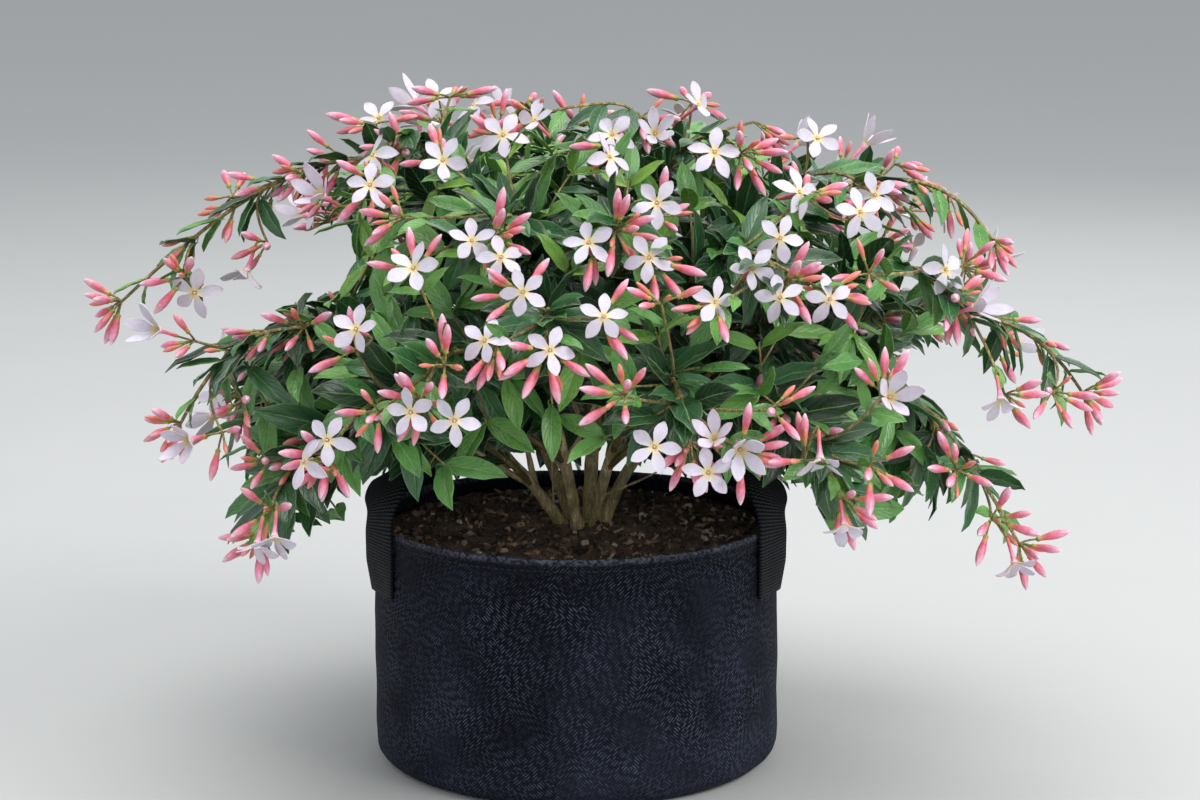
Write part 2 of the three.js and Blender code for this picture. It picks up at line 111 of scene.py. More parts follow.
# Long shoots: the stem, how far up it, the rise and the crest as (share of the way out, height), and the tip
SHOOTS = {
    "left_high": ("left", 1.0, (0.05, 520), (0.47, 490), (-322, -60, 362)),
    "left_middle": ("left", 0.66, (0.36, 292), (0.72, 415), (-272, -150, 292)),
    "left_low": ("left", 0.48, (0.3, 285), (0.8, 330), (-214, -190, 222)),
    "left_front": ("centre", 0.56, (0.3, 280), (0.78, 350), (-160, -252, 290)),
    "top_left": ("left_rear", 0.8, (0.3, 350), (0.78, 496), (-118, -62, 472)),
    "front_left": ("centre", 0.7, (0.3, 298), (0.78, 385), (-98, -275, 332)),
    "front_middle": ("centre", 0.84, (0.3, 315), (0.78, 415), (-18, -276, 366)),
    "front_high": ("centre", 1.0, (0.3, 416), (0.78, 452), (-52, -216, 430)),
    "front_right": ("right", 0.7, (0.3, 295), (0.78, 375), (76, -284, 306)),
    "front_top": ("right", 0.84, (0.3, 330), (0.78, 452), (28, -218, 434)),
    "right_front": ("right", 0.56, (0.3, 285), (0.78, 352), (176, -258, 262)),
    "right_upper": ("right", 1.0, (0.3, 398), (0.78, 430), (138, -226, 402)),
    "top_middle": ("rear", 0.82, (0.3, 356), (0.78, 500), (45, -62, 492)),
    "top_right": ("rear", 1.0, (0.3, 454), (0.78, 496), (112, -112, 474)),
    "right_low": ("right_rear", 0.52, (0.15, 385), (0.66, 372), (312, -128, 200)),
    "right_long": ("right_rear", 0.7, (0.3, 320), (0.78, 400), (364, -60, 296)),
    "right_middle": ("right_rear", 0.88, (0.3, 325), (0.78, 430), (256, -168, 382)),
    "right_high": ("right_rear", 1.0, (0.3, 438), (0.78, 480), (294, -70, 410)),
    "right_top": ("rear", 0.92, (0.3, 358), (0.78, 482), (202, -98, 446)),
    "rear_left_low": ("left_rear", 0.5, (0.3, 290), (0.78, 375), (-262, 140, 252)),
    "rear_left": ("left_rear", 1.0, (0.3, 418), (0.78, 455), (-195, 195, 385)),
    "rear_top": ("rear", 0.62, (0.3, 338), (0.78, 490), (-40, 150, 478)),
    "rear_middle": ("rear", 0.5, (0.3, 300), (0.78, 420), (-30, 292, 318)),
    "rear_right": ("rear", 0.72, (0.3, 330), (0.78, 455), (186, 212, 390)),
    "rear_right_low": ("right_rear", 0.6, (0.3, 285), (0.78, 360), (268, 160, 228)),
}
UNHEADED = ("right_top", "rear_left_low", "rear_top", "rear_right_low")
SPRAYS = ("left_high", "left_middle", "left_low", "right_low", "right_long", "right_high", "right_front",
          "rear_left_low", "rear_right_low")

# Side clusters: where their stalks meet, and how many buds they carry
CLUSTERS = (
    (-278, -92, 378, 6), (-222, -60, 398, 5), (-250, -30, 428, 5), (-195, -50, 446, 5),
    (-232, -150, 300, 5), (-188, -150, 352, 5), (-148, -208, 346, 4), (-212, -176, 262, 6),
    (-205, -232, 240, 5),
    (-145, -40, 482, 6), (-138, -138, 452, 4), (-92, -5, 498, 7), (-92, -142, 468, 4),
    (-50, -118, 482, 5),
    (-106, -232, 404, 4), (-116, -188, 434, 7), (-50, -286, 364, 5), (14, -236, 424, 4),
    (52, -244, 414, 5), (-34, -262, 394, 6), (18, -276, 380, 5), (-128, -280, 318, 5),
    (-84, -284, 350, 6), (34, -298, 332, 8), (58, -268, 388, 5), (110, -300, 296, 7),
    (94, -262, 386, 5),
    (-28, -88, 494, 6), (27, -140, 478, 4), (84, -42, 498, 7), (128, -60, 486, 6),
    (166, -70, 474, 6), (158, -160, 446, 5), (232, -30, 452, 7), (170, -232, 390, 5),
    (200, -205, 398, 5), (272, -128, 392, 6), (206, -262, 326, 6), (296, -190, 312, 6),
    (338, -120, 300, 7), (262, -205, 262, 7), (290, -180, 222, 7), (152, -292, 288, 6),
    (196, -280, 282, 6), (130, -292, 322, 5),
    (-120, 120, 436, 5), (-215, 170, 262, 6), (-140, 240, 330, 5),
    (-80, 210, 404, 6), (20, 236, 390, 5), (96, 232, 352, 6), (60, 130, 450, 5),
    (150, 120, 430, 6), (236, 130, 370, 5), (250, 40, 408, 6), (320, 60, 300, 5),
    (-190, 90, 414, 6), (-60, 80, 464, 5), (-30, 190, 428, 6), (110, 170, 414, 5), (0, 60, 470, 5),
    (200, 60, 436, 5), (70, 262, 300, 5), (-90, 262, 286, 5), (160, 236, 300, 6), (-210, 210, 290, 5),
    (-232, 110, 262, 5), (-262, 110, 250, 5), (246, 190, 300, 5), (10, 286, 250, 5), (300, 110, 340, 5),
    (-180, 170, 388, 5), (60, 190, 420, 4), (-100, 40, 474, 4), (286, -10, 370, 5), (-240, 60, 300, 5),
    (-150, 215, 372, 6), (60, 285, 312, 6), (-60, 275, 326, 6), (130, 215, 375, 6), (210, 190, 345, 6),
    (190, 160, 396, 6), (-120, 262, 304, 6),
)

# Open flowers on the sides that face the front, and how each is held
FLOWERS = (
    (-143, -31, 486, "open"), (-142, -117, 469, "side"), (-141, -158, 453, "open"), (-103, 20, 496, "open"),
    (-91, -149, 469, "open"), (-50, -126, 484, "open"), (-29, -107, 492, "side"), (26, -132, 485, "open"),
    (25, -162, 473, "side"), (56, -125, 485, "half"), (89, -55, 498, "side"), (97, -142, 474, "open"),
    (173, -73, 476, "open"), (155, -166, 449, "side"), (197, -164, 435, "open"), (209, -136, 443, "open"),
    (-107, -240, 408, "open"), (-68, -231, 425, "open"), (-48, -246, 416, "open"), (-33, -268, 396, "open"),
    (10, -240, 425, "open"), (50, -248, 416, "open"), (56, -206, 447, "open"), (20, -281, 382, "open"),
    (-15, -295, 362, "open"), (-58, -287, 367, "open"), (-144, -261, 370, "open"), (-106, -301, 322, "open"),
    (-77, -309, 318, "open"), (-162, -289, 301, "open"), (-178, -287, 286, "side"), (53, -316, 302, "open"),
    (88, -316, 285, "open"), (92, -313, 307, "half"), (139, -214, 424, "open"), (119, -241, 408, "open"),
    (137, -253, 390, "open"), (171, -242, 387, "open"), (94, -266, 389, "side"), (256, -172, 396, "open"),
    (275, -184, 372, "half"), (210, -265, 325, "half"), (290, -215, 313, "hang"), (305, -196, 194, "hang"),
    (109, -310, 299, "half"), (179, -293, 244, "hang"), (162, -297, 290, "hang"), (-212, -262, 224, "hang"),
    (-200, -268, 230, "hang"), (-272, -92, 367, "nod"), (-236, -76, 380, "hang"), (-262, -218, 286, "half"),
    (-175, -149, 445, "half"), (-290, -158, 352, "half"),
)

# The highest that the plant reaches, from left to right, as (place across, height)
TOP_LINE = ((-400, 350), (-235, 462), (-145, 510), (105, 506), (140, 482), (215, 480), (270, 438), (310, 410),
            (335, 350), (420, 320))

# Where the plant leaves the air open as seen from the front: outlines in the upright plane through its middle
OPEN_AIR = (
    ((-286, 339), (-255, 359), (-226, 374), (-204, 397), (-171, 405), (-163, 393), (-169, 364),
     (-187, 359), (-219, 349), (-236, 336), (-265, 330)),
    ((-239, 70), (-238, 131), (-215, 136), (-209, 168), (-175, 174), (-163, 210), (-158, 216),
     (-126, 216), (-127, 70)),
    ((126, 70), (124, 211), (158, 211), (168, 189), (192, 187), (196, 154), (223, 154), (227, 177),
     (256, 174), (262, 201), (274, 193), (281, 139), (309, 115), (322, 70)),
    ((247, 318), (265, 311), (274, 297), (278, 280), (292, 267), (306, 257), (327, 247), (356, 252),
     (361, 231), (345, 218), (322, 225), (306, 237), (289, 256), (272, 267), (261, 274), (248, 288)),
)

# Twigs that hang low in front of the stems
LOW_TWIGS = ((10, -118, 268), (46, -136, 256), (-62, -128, 264), (-104, -142, 250), (84, -150, 252),
             (124, -140, 242), (-140, -120, 240), (30, -96, 276), (-30, -150, 284))

# Bare side branches of the stems: how far up they leave, bend, end and radius at the foot
BRANCHES = {
    "left": ((0.52, (-60, -27, 226), (-104, -42, 264), 2.7), (0.46, (-37, -19, 232), (-42, -24, 284), 2.7),
             (0.24, (-17, -9, 206), (-20, -14, 262), 1.2)),
    "left_rear": ((0.5, (-36, 34, 246), (-74, 62, 286), 2.4),),
    "centre": ((0.46, (-17, -24, 236), (-46, -36, 272), 2.5), (0.58, (4, -30, 246), (16, -52, 284), 2.3)),
    "rear": ((0.5, (4, 30, 240), (-14, 46, 300), 2.6),),
    "right": ((0.34, (31, -22, 206), (66, -40, 228), 1.3), (0.6, (36, -30, 240), (66, -58, 276), 2.4)),
    "right_rear": ((0.48, (44, 20, 234), (58, 26, 290), 2.4),),
}

# Handles: the legs' angles round from the front
HANDLE_ANGLES = (math.radians(68), math.radians(129))

# Handles: the band over the rim, as (share of the way back, share of the rise, how far it lies inwards)
BAND = ((0.05, 0.72, 4), (0.24, 0.98, 14), (0.5, 0.92, 22), (0.76, 0.86, 14), (0.95, 0.62, 4))

# A leaf from its stalk to its point, as (share of its length, share of its width)
LEAF_ROWS = ((-0.1, 0.07), (0.0, 0.1), (0.13, 0.61), (0.3, 0.94), (0.5, 1.0), (0.7, 0.86), (0.87, 0.48),
             (1.0, 0.03))
PETAL_ROWS = ((0.0, 0.3), (0.18, 0.52), (0.42, 0.92), (0.62, 1.0), (0.8, 0.76), (0.93, 0.38), (1.0, 0.06))
BUD_ROWS = ((0.07, 0.52), (0.2, 0.66), (0.4, 0.9), (0.58, 1.0), (0.76, 0.84), (0.9, 0.5), (0.97, 0.22))


def mm(x, y, z):
    """A place given in millimetres, as Blender's metres."""
    return Vector((x, y, z)) * MM


def clamp(value):
    return min(1, max(0, value))


# Settings

def length(name, description, default):
    return FloatProperty(name=name, description=description, default=default, min=0, unit="LENGTH",
                         subtype="DISTANCE", precision=4)


def number(name, description, default):
    return IntProperty(name=name, description=description, default=default, min=0)


def colour(name, description, default):
    return FloatVectorProperty(name=name, description=description, default=default, min=0, max=1, size=3,
                               subtype="COLOR")


def settings(kind):
    return getattr(bpy.context.scene, "jasmine_" + kind)


class BagSettings(bpy.types.PropertyGroup):
    radius: length("Radius", "Outside radius of the bag", BAG_RADIUS)
    cloth: length("Cloth", "Thickness of the felted fabric", 0.0026)
    corner: length("Corner", "Radius of the turned bottom corner", 0.013)
    sag: length("Sag", "How far the soft wall bulges between rim and floor", 0.0022)
    seam: length("Seam", "Width of the lapped seam at the front", 0.010)
    cloth_colour: colour("Cloth Colour", "Colour of the fabric", (0.0022, 0.0030, 0.0070))
    yarn_colour: colour("Yarn Colour", "Colour of the pale yarns in the twill", (0.092, 0.106, 0.162))
    dust_colour: colour("Dust Colour", "Colour of the dust on the fabric", (0.037, 0.044, 0.070))


class HandleSettings(bpy.types.PropertyGroup):
    width: length("Width", "Width of the webbing", 0.038)
    thickness: length("Thickness", "Thickness of the webbing", 0.0026)
    foot: length("Foot", "Height of the lower end of the legs", 0.136)
    rise: length("Rise", "Height of the middle of the loop over the rim", 0.035)
    web_colour: colour("Webbing Colour", "Colour of the webbing", (0.0028, 0.0033, 0.0052))
    thread_colour: colour("Thread Colour", "Colour of the sewing thread", (0.014, 0.016, 0.021))


class SoilSettings(bpy.types.PropertyGroup):
    edge: length("Edge Height", "Height of the mix at the wall", 0.171)
    middle: length("Middle Height", "Height of the mix at the stems", 0.176)
    chips: number("Chips", "Number of bark chips on the mix", 340)
    crumbs: number("Crumbs", "Number of loose crumbs on the mix", 1100)
    soil_colour: colour("Soil Colour", "Colour of the damp mix", (0.182, 0.118, 0.088))


class WoodSettings(bpy.types.PropertyGroup):
    shoot_foot: length("Shoot Foot", "Radius of a long shoot where it starts", 0.0027)
    shoot_tip: length("Shoot Tip", "Radius of a long shoot at its tip", 0.0013)
    twig: length("Twig", "Radius of a side twig", 0.0010)
    bark_colour: colour("Bark Colour", "Colour of the woody stems", (0.600, 0.480, 0.240))
    green_colour: colour("Green Wood Colour", "Colour of the young shoots", (0.370, 0.300, 0.105))


class LeafSettings(bpy.types.PropertyGroup):
    length: length("Length", "Length of a full-grown leaf", 0.050)
    width: length("Width", "Width of a full-grown leaf", 0.0205)
    thickness: length("Thickness", "Thickness of a leaf", 0.0005)
    pitch: length("Pitch", "Distance between pairs of leaves", 0.019)
    outer_twigs: number("Outer Twigs", "Leafy twigs that end on the canopy", 330)
    inner_twigs: number("Inner Twigs", "Leafy twigs inside the canopy", 150)
    old_colour: colour("Old Leaf", "Colour of a full-grown leaf", (0.038, 0.160, 0.048))
    young_colour: colour("Young Leaf", "Colour of a young leaf", (0.250, 0.450, 0.040))
    under_colour: colour("Leaf Underside", "Colour of the underside", (0.090, 0.220, 0.095))


class FlowerSettings(bpy.types.PropertyGroup):
    radius: length("Radius", "Radius of an open flower", 0.0195)
    petal_width: length("Petal Width", "Width of a petal", 0.0094)
    tube: length("Tube", "Length of the flower's tube", 0.020)
    bud_length: length("Bud Length", "Length of a full bud", 0.0230)
    bud_radius: length("Bud Radius", "Radius of a full bud", 0.0031)
    petal_colour: colour("Petal", "Colour of a petal's face", (0.640, 0.596, 0.682))
    blush_colour: colour("Blush", "Colour of a petal's tip and back", (0.760, 0.270, 0.420))
    throat_colour: colour("Throat", "Colour of the flower's throat", (0.820, 0.680, 0.220))
    bud_colour: colour("Bud", "Colour of a bud", (0.700, 0.125, 0.185))
    young_bud_colour: colour("Young Bud", "Colour of a young bud", (0.680, 0.165, 0.120))


class StageSettings(bpy.types.PropertyGroup):
    floor_colour: colour("Floor", "Colour of the floor", (0.50, 0.50, 0.49))
    light: FloatProperty(name="Light", description="Strength of the studio lights", default=1.0, min=0)
    lens: FloatProperty(name="Lens", description="Focal length of the camera", default=96, min=1,
                        subtype="DISTANCE_CAMERA")


# Modelling helpers

def begin():
    """Leave edit mode and deselect everything, so that an operator acts on the new piece only."""
    if bpy.context.object and bpy.context.mode != "OBJECT":
        bpy.ops.object.mode_set(mode="OBJECT")
    bpy.ops.object.select_all(action="DESELECT")


def select(*pieces):
    begin()
    for piece in pieces:
        piece.select_set(True)
    bpy.context.view_layer.objects.active = pieces[0]


def enter_edit(kind="VERT"):
    bpy.ops.object.mode_set(mode="EDIT")
    bpy.ops.mesh.select_mode(type=kind)


def leave_edit():
    bpy.ops.object.mode_set(mode="OBJECT")


def pick(test, kind="VERT"):
    """Select the vertices, edges or faces of the edited mesh that pass the test."""
    bpy.ops.mesh.select_mode(type=kind)
    bpy.ops.mesh.select_all(action="DESELECT")
    mesh = bmesh.from_edit_mesh(bpy.context.object.data)
    for item in {"VERT": mesh.verts, "EDGE": mesh.edges, "FACE": mesh.faces}[kind]:
        item.select_set(test(item))
    mesh.select_flush_mode()
    bmesh.update_edit_mesh(bpy.context.object.data)


def shift(x=0, y=0, z=0):
    bpy.ops.transform.translate(value=(x, y, z))


def resize(x, y, z, middle=(0, 0, 0)):
    bpy.ops.transform.resize(value=(x, y, z), center_override=middle)


def raise_by(height):
    bpy.ops.mesh.extrude_region_move(TRANSFORM_OT_translate={"value": (0, 0, height)})


def modify(kind, **values):
    """Add a modifier to the active piece, set it and apply it."""
    bpy.ops.object.modifier_add(type=kind)
    modifier = bpy.context.object.modifiers[-1]
    for name, value in values.items():
        setattr(modifier, name, value)
    bpy.ops.object.modifier_apply(modifier=modifier.name)


def roughen(name, size, depth, middle=0.5, group="", detail=2):
    """Push the surface in and out by a cloud pattern whose lumps are of the given size."""
    clouds = bpy.data.textures.new(name, "CLOUDS")
    clouds.noise_scale = size
    clouds.noise_depth = detail
    modify("DISPLACE", texture=clouds, strength=depth, mid_level=middle, vertex_group=group)


def close_up(merge=1e-5):
    """Merge doubled points and turn every face outwards."""
    enter_edit()
    bpy.ops.mesh.select_all(action="SELECT")
    bpy.ops.mesh.remove_doubles(threshold=merge)
    bpy.ops.mesh.normals_make_consistent(inside=False)
    leave_edit()


def smooth(degrees):
    bpy.ops.object.shade_smooth_by_angle(angle=math.radians(degrees))


def paint(piece, *materials):
    piece.data.materials.clear()
    for material in materials:
        piece.data.materials.append(material)


def mark(piece, name, value_at=lambda spot: 0.0):
    """Store a number on every point of the mesh, for the materials to read."""
    mesh = piece.data
    layer = mesh.attributes.get(name) or mesh.attributes.new(name, "FLOAT", "POINT")
    layer.data.foreach_set("value", [value_at(point.co) for point in mesh.vertices])


def weigh(piece, name, weight_at):
    """A vertex group whose weight is worked out at every point."""
    group = piece.vertex_groups.new(name=name)
    for point in piece.data.vertices:
        group.add([point.index], weight_at(point.co), "REPLACE")


def turned(sides, rings, filled=True):
    """Raise a round body on the Z axis through rings of (radius, height), and stay in edit mode."""
    radius, height = rings[0]
    begin()
    bpy.ops.mesh.primitive_circle_add(vertices=sides, radius=radius, location=(0, 0, height),
                                      fill_type="NGON" if filled else "NOTHING")
    bpy.ops.object.transform_apply(location=True, rotation=False, scale=False)
    enter_edit("FACE" if filled else "EDGE")
    for next_radius, next_height in rings[1:]:
        raise_by(next_height - height)
        grow = next_radius / radius
        resize(grow, grow, 1, (0, 0, next_height))
        radius, height = next_radius, next_height
    return bpy.context.object


def spindle(sides, rings, end):
    """A closed round body on the Z axis: rings of (radius, height), then a point at the given height."""
    made = turned(sides, rings)
    raise_by(end - rings[-1][1])
    bpy.ops.mesh.merge(type="CENTER")
    leave_edit()
    close_up()
    return made


def shaped_strip(rows, reach, width, columns):
    """A flat blade along Y, row by row, with a UV map that runs across and along it."""
    begin()
    bpy.ops.mesh.primitive_grid_add(x_subdivisions=columns, y_subdivisions=len(rows) - 1, size=1)
    blade = bpy.context.object
    places = [i / (len(rows) - 1) - 0.5 for i in range(len(rows))]
    lines = [{v.index for v in blade.data.vertices if abs(v.co.y - place) < 1e-4} for place in places]
    enter_edit()
    for line, place, (share, wide) in zip(lines, places, rows):
        pick(lambda point, line=line: point.index in line)
        resize(wide * width, 1, 1, (0, place, 0))
        shift(y=share * reach - place)
    leave_edit()
    return blade


def bend_rows(rows, reach, shift_at):
    """Move each row of the edited blade by what `shift_at` gives for its number and share of the length."""
    for row, (share, _) in enumerate(rows):
        way = share * reach
        pick(lambda point, way=way: abs(point.co.y - way) < 1e-5)
        shift(*shift_at(row, share))


def thicken(blade, thickness, face, back):
    """Give a blade its thickness, with one material on its face and another on its back."""
    modify("SOLIDIFY", thickness=thickness, offset=-1, material_offset=1, material_offset_rim=0)
    paint(blade, face, back)


def stalk_curve(stalks, thickness_steps=1):
    """One mesh of many tapered stalks, each (control points, radius at foot, radius at tip, steps)."""
    begin()
    bpy.ops.curve.primitive_bezier_curve_add()
    curve = bpy.context.object.data
    curve.splines.remove(curve.splines[0])
    curve.dimensions = "3D"
    curve.bevel_depth = 1.0
    curve.bevel_resolution = thickness_steps
    curve.use_fill_caps = True
    for points, foot, tip, steps in stalks:
        if len(points) == 3:
            start, bend, end = points
            points = (start, start.lerp(bend, 2 / 3), end.lerp(bend, 2 / 3), end)
        spline = curve.splines.new("BEZIER")
        spline.bezier_points.add(1)
        first, last = spline.bezier_points
        first.co, first.handle_right, last.handle_left, last.co = points
        first.handle_left = 2 * points[0] - points[1]
        last.handle_right = 2 * points[3] - points[2]
        first.radius, last.radius = foot, tip
        spline.resolution_u = steps
    bpy.ops.object.convert(target="MESH")
    close_up(2e-5)
    smooth(60)
    return bpy.context.object


def copy_of(pattern, place, tone=None):
    """A copy of a pattern with its own mesh, set in place."""
    mesh = pattern.data.copy()
    mesh.transform(place)
    if tone is not None:
        mesh.attributes["tone"].data.foreach_set("value", [tone] * len(mesh.vertices))
    piece = bpy.data.objects.new(pattern.name, mesh)
    bpy.context.collection.objects.link(piece)
    return piece


def join_all(pieces):
    select(*pieces)
    if len(pieces) > 1:
        bpy.ops.object.join()
    return bpy.context.object


def remove(*pieces):
    for piece in pieces:
        bpy.data.objects.remove(piece)


def finish_piece(piece, name, slot, *nodes):
    """Name a finished piece, seat it on the body and hide the CAD nodes it stands for."""
    piece.name = name
    piece.data.name = name
    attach(piece, "root")
    if nodes:
        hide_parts(*nodes)


def frame_along(direction, facing, at, scale):
    """A placing whose Y runs along the direction and whose Z faces as near as can be to `facing`."""
    ahead = direction.normalized()
    normal = facing - ahead * facing.dot(ahead)
    normal = normal.normalized() if normal.length > 1e-6 else ahead.orthogonal().normalized()
    turn = Matrix((ahead.cross(normal), ahead, normal)).transposed().to_4x4()
    return Matrix.Translation(at) @ turn @ Matrix.Scale(scale, 4)


def frame_upright(direction, turn, at, scale=(1.0, 1.0, 1.0)):
    """A placing whose Z runs along the direction, turned round it."""
    spin = UP.rotation_difference(direction).to_matrix().to_4x4()
    return Matrix.Translation(at) @ spin @ Matrix.Rotation(turn, 4, "Z") @ Matrix.Diagonal((*scale, 1))


# Curves of the plant

def bezier(points, t):
    points = list(points)
    while len(points) > 1:
        points = [a.lerp(b, t) for a, b in zip(points, points[1:])]
    return points[0]


def heading(points, t):
    step = 0.01
    return (bezier(points, min(1, t + step)) - bezier(points, max(0, t - step))).normalized()


def total_length(spots):
    return sum((b - a).length for a, b in zip(spots, spots[1:]))


def run_length(points):
    steps = 16
    return total_length([bezier(points, i / steps) for i in range(steps + 1)])


def centripetal(points, count):
    """Evenly spaced places on a centripetal curve through the points."""
    steps = 24
    spots = [2 * points[0] - points[1], *points, 2 * points[-1] - points[-2]]
    fine = []
    for a, b, c, d in zip(spots, spots[1:], spots[2:], spots[3:]):
        first, middle, last = ((q - p).length ** 0.5 for p, q in ((a, b), (b, c), (c, d)))
        leave = ((b - a) / first - (c - a) / (first + middle) + (c - b) / middle) * middle
        meet = ((c - b) / middle - (d - b) / (middle + last) + (d - c) / last) * middle
        for i in range(steps):
            t = i / steps
            fine.append(b * (2 * t ** 3 - 3 * t ** 2 + 1) + leave * (t ** 3 - 2 * t ** 2 + t)
                        + c * (3 * t ** 2 - 2 * t ** 3) + meet * (t ** 3 - t ** 2))
    fine.append(points[-1].copy())
    way = [0.0]
    for a, b in zip(fine, fine[1:]):
        way.append(way[-1] + (b - a).length)
    even, j = [], 0
    for i in range(count):
        goal = way[-1] * i / (count - 1)
        while j < len(way) - 2 and way[j + 1] < goal:
            j += 1
        even.append(fine[j].lerp(fine[j + 1], (goal - way[j]) / (way[j + 1] - way[j])))
    return even


def handle_path(handle, hand, count):
    """The middle line of a handle's webbing, from the foot of its front leg to the foot of its rear leg."""
    outside = HEM_OUTSIDE + FIT + handle.thickness / 2
    front, rear = HANDLE_ANGLES

    def on_wall(angle, z, lean=0.0):
        reach = outside - lean
        return Vector((hand * reach * math.sin(angle), -reach * math.cos(angle), z))

    leg = (handle.foot, (handle.foot + RIM_TOP) / 2, RIM_TOP + 0.002)
    band = [on_wall(front + back * (rear - front), RIM_TOP + up * handle.rise, lean * MM)
            for back, up, lean in BAND]
    points = [*(on_wall(front, z) for z in leg), *band, *(on_wall(rear, z) for z in reversed(leg))]
    return centripetal(points, count)


def stem_points(name):
    return tuple(mm(*spot) for spot in STEMS[name][:3])


def branch_points(name):
    """The control points and foot radius of each bare side branch of a stem."""
    stem = stem_points(name)
    for share, bend, end, thick in BRANCHES[name]:
        yield (bezier(stem, share), mm(*bend), mm(*end)), thick * MM


def shoot_points(name):
    stem, share, *arch, tip = SHOOTS[name]
    start, end = bezier(stem_points(stem), share), mm(*tip)
    bends = []
    for out, height in arch:
        bend = start.lerp(end, out)
        bend.z = height * MM
        bends.append(bend)
    return start, *bends, end


def is_under_top(spot, spare=0.0):
    """Whether a place keeps under the plant's outline, which falls away towards the rear too."""
    across, back, height = spot / MM
    for (left, low), (right, high) in zip(TOP_LINE, TOP_LINE[1:]):
        if left <= across <= right:
            top = low + (high - low) * (across - left) / (right - left)
            return height + spare < top - 0.12 * max(0, back)
    return False


def is_in_open_air(spot):
    """Whether a place shows, from the front, where the plant leaves the air open."""
    seen = (EYE + (spot - EYE) * (EYE.y / (EYE.y - spot.y))) / MM
    for outline in OPEN_AIR:
        within = False
        for (a, low), (b, high) in zip(outline, (*outline[1:], outline[0])):
            if (low > seen.z) != (high > seen.z) and seen.x < a + (b - a) * (seen.z - low) / (high - low):
                within = not within
        if within:
            return True
    return False


def leaning(axis, tilt, turn):
    """A direction that leans away from the axis, turned round it."""
    flat = Vector((1, 0, 0)) if abs(axis.z) > 0.9 else UP
    beside = Quaternion(axis, turn) @ axis.cross(flat).normalized()
    return axis * math.cos(tilt) + beside * math.sin(tilt)


def outward(spot):
    """The way out of the canopy, from its middle."""
    return Vector((spot.x, spot.y, 0.9 * (spot.z - 0.245))).normalized()


class Room:
    """Space that is taken, kept as balls, so that a new piece keeps clear of it."""

    CELL = 0.03

    def __init__(self):
        self.balls = {}

    def key(self, spot):
        return tuple(int(c // self.CELL) for c in spot)

    def take(self, spot, radius):
        self.balls.setdefault(self.key(spot), []).append((spot.copy(), radius))

    def take_along(self, points, count, radius):
        for step in range(count):
            self.take(bezier(points, step / (count - 1)), radius)

    def is_free(self, spot, radius, share=1.0):
        x, y, z = self.key(spot)
        for i, j, k in product((-1, 0, 1), repeat=3):
            for other, size in self.balls.get((x + i, y + j, z + k), ()):
                if (other - spot).length < share * (radius + size):
                    return False
        return True


# The place where the stalks of a cluster meet, with its axis, what bears it and how many buds it has
Knot = namedtuple("Knot", "spot axis owner buds")


class Growth:
    """What one shoot or flower head bears, as the places where it is built."""

    def __init__(self, *stalk):
        self.stalks = [stalk]
        self.leaves = []
        self.buds = []
        self.flowers = []


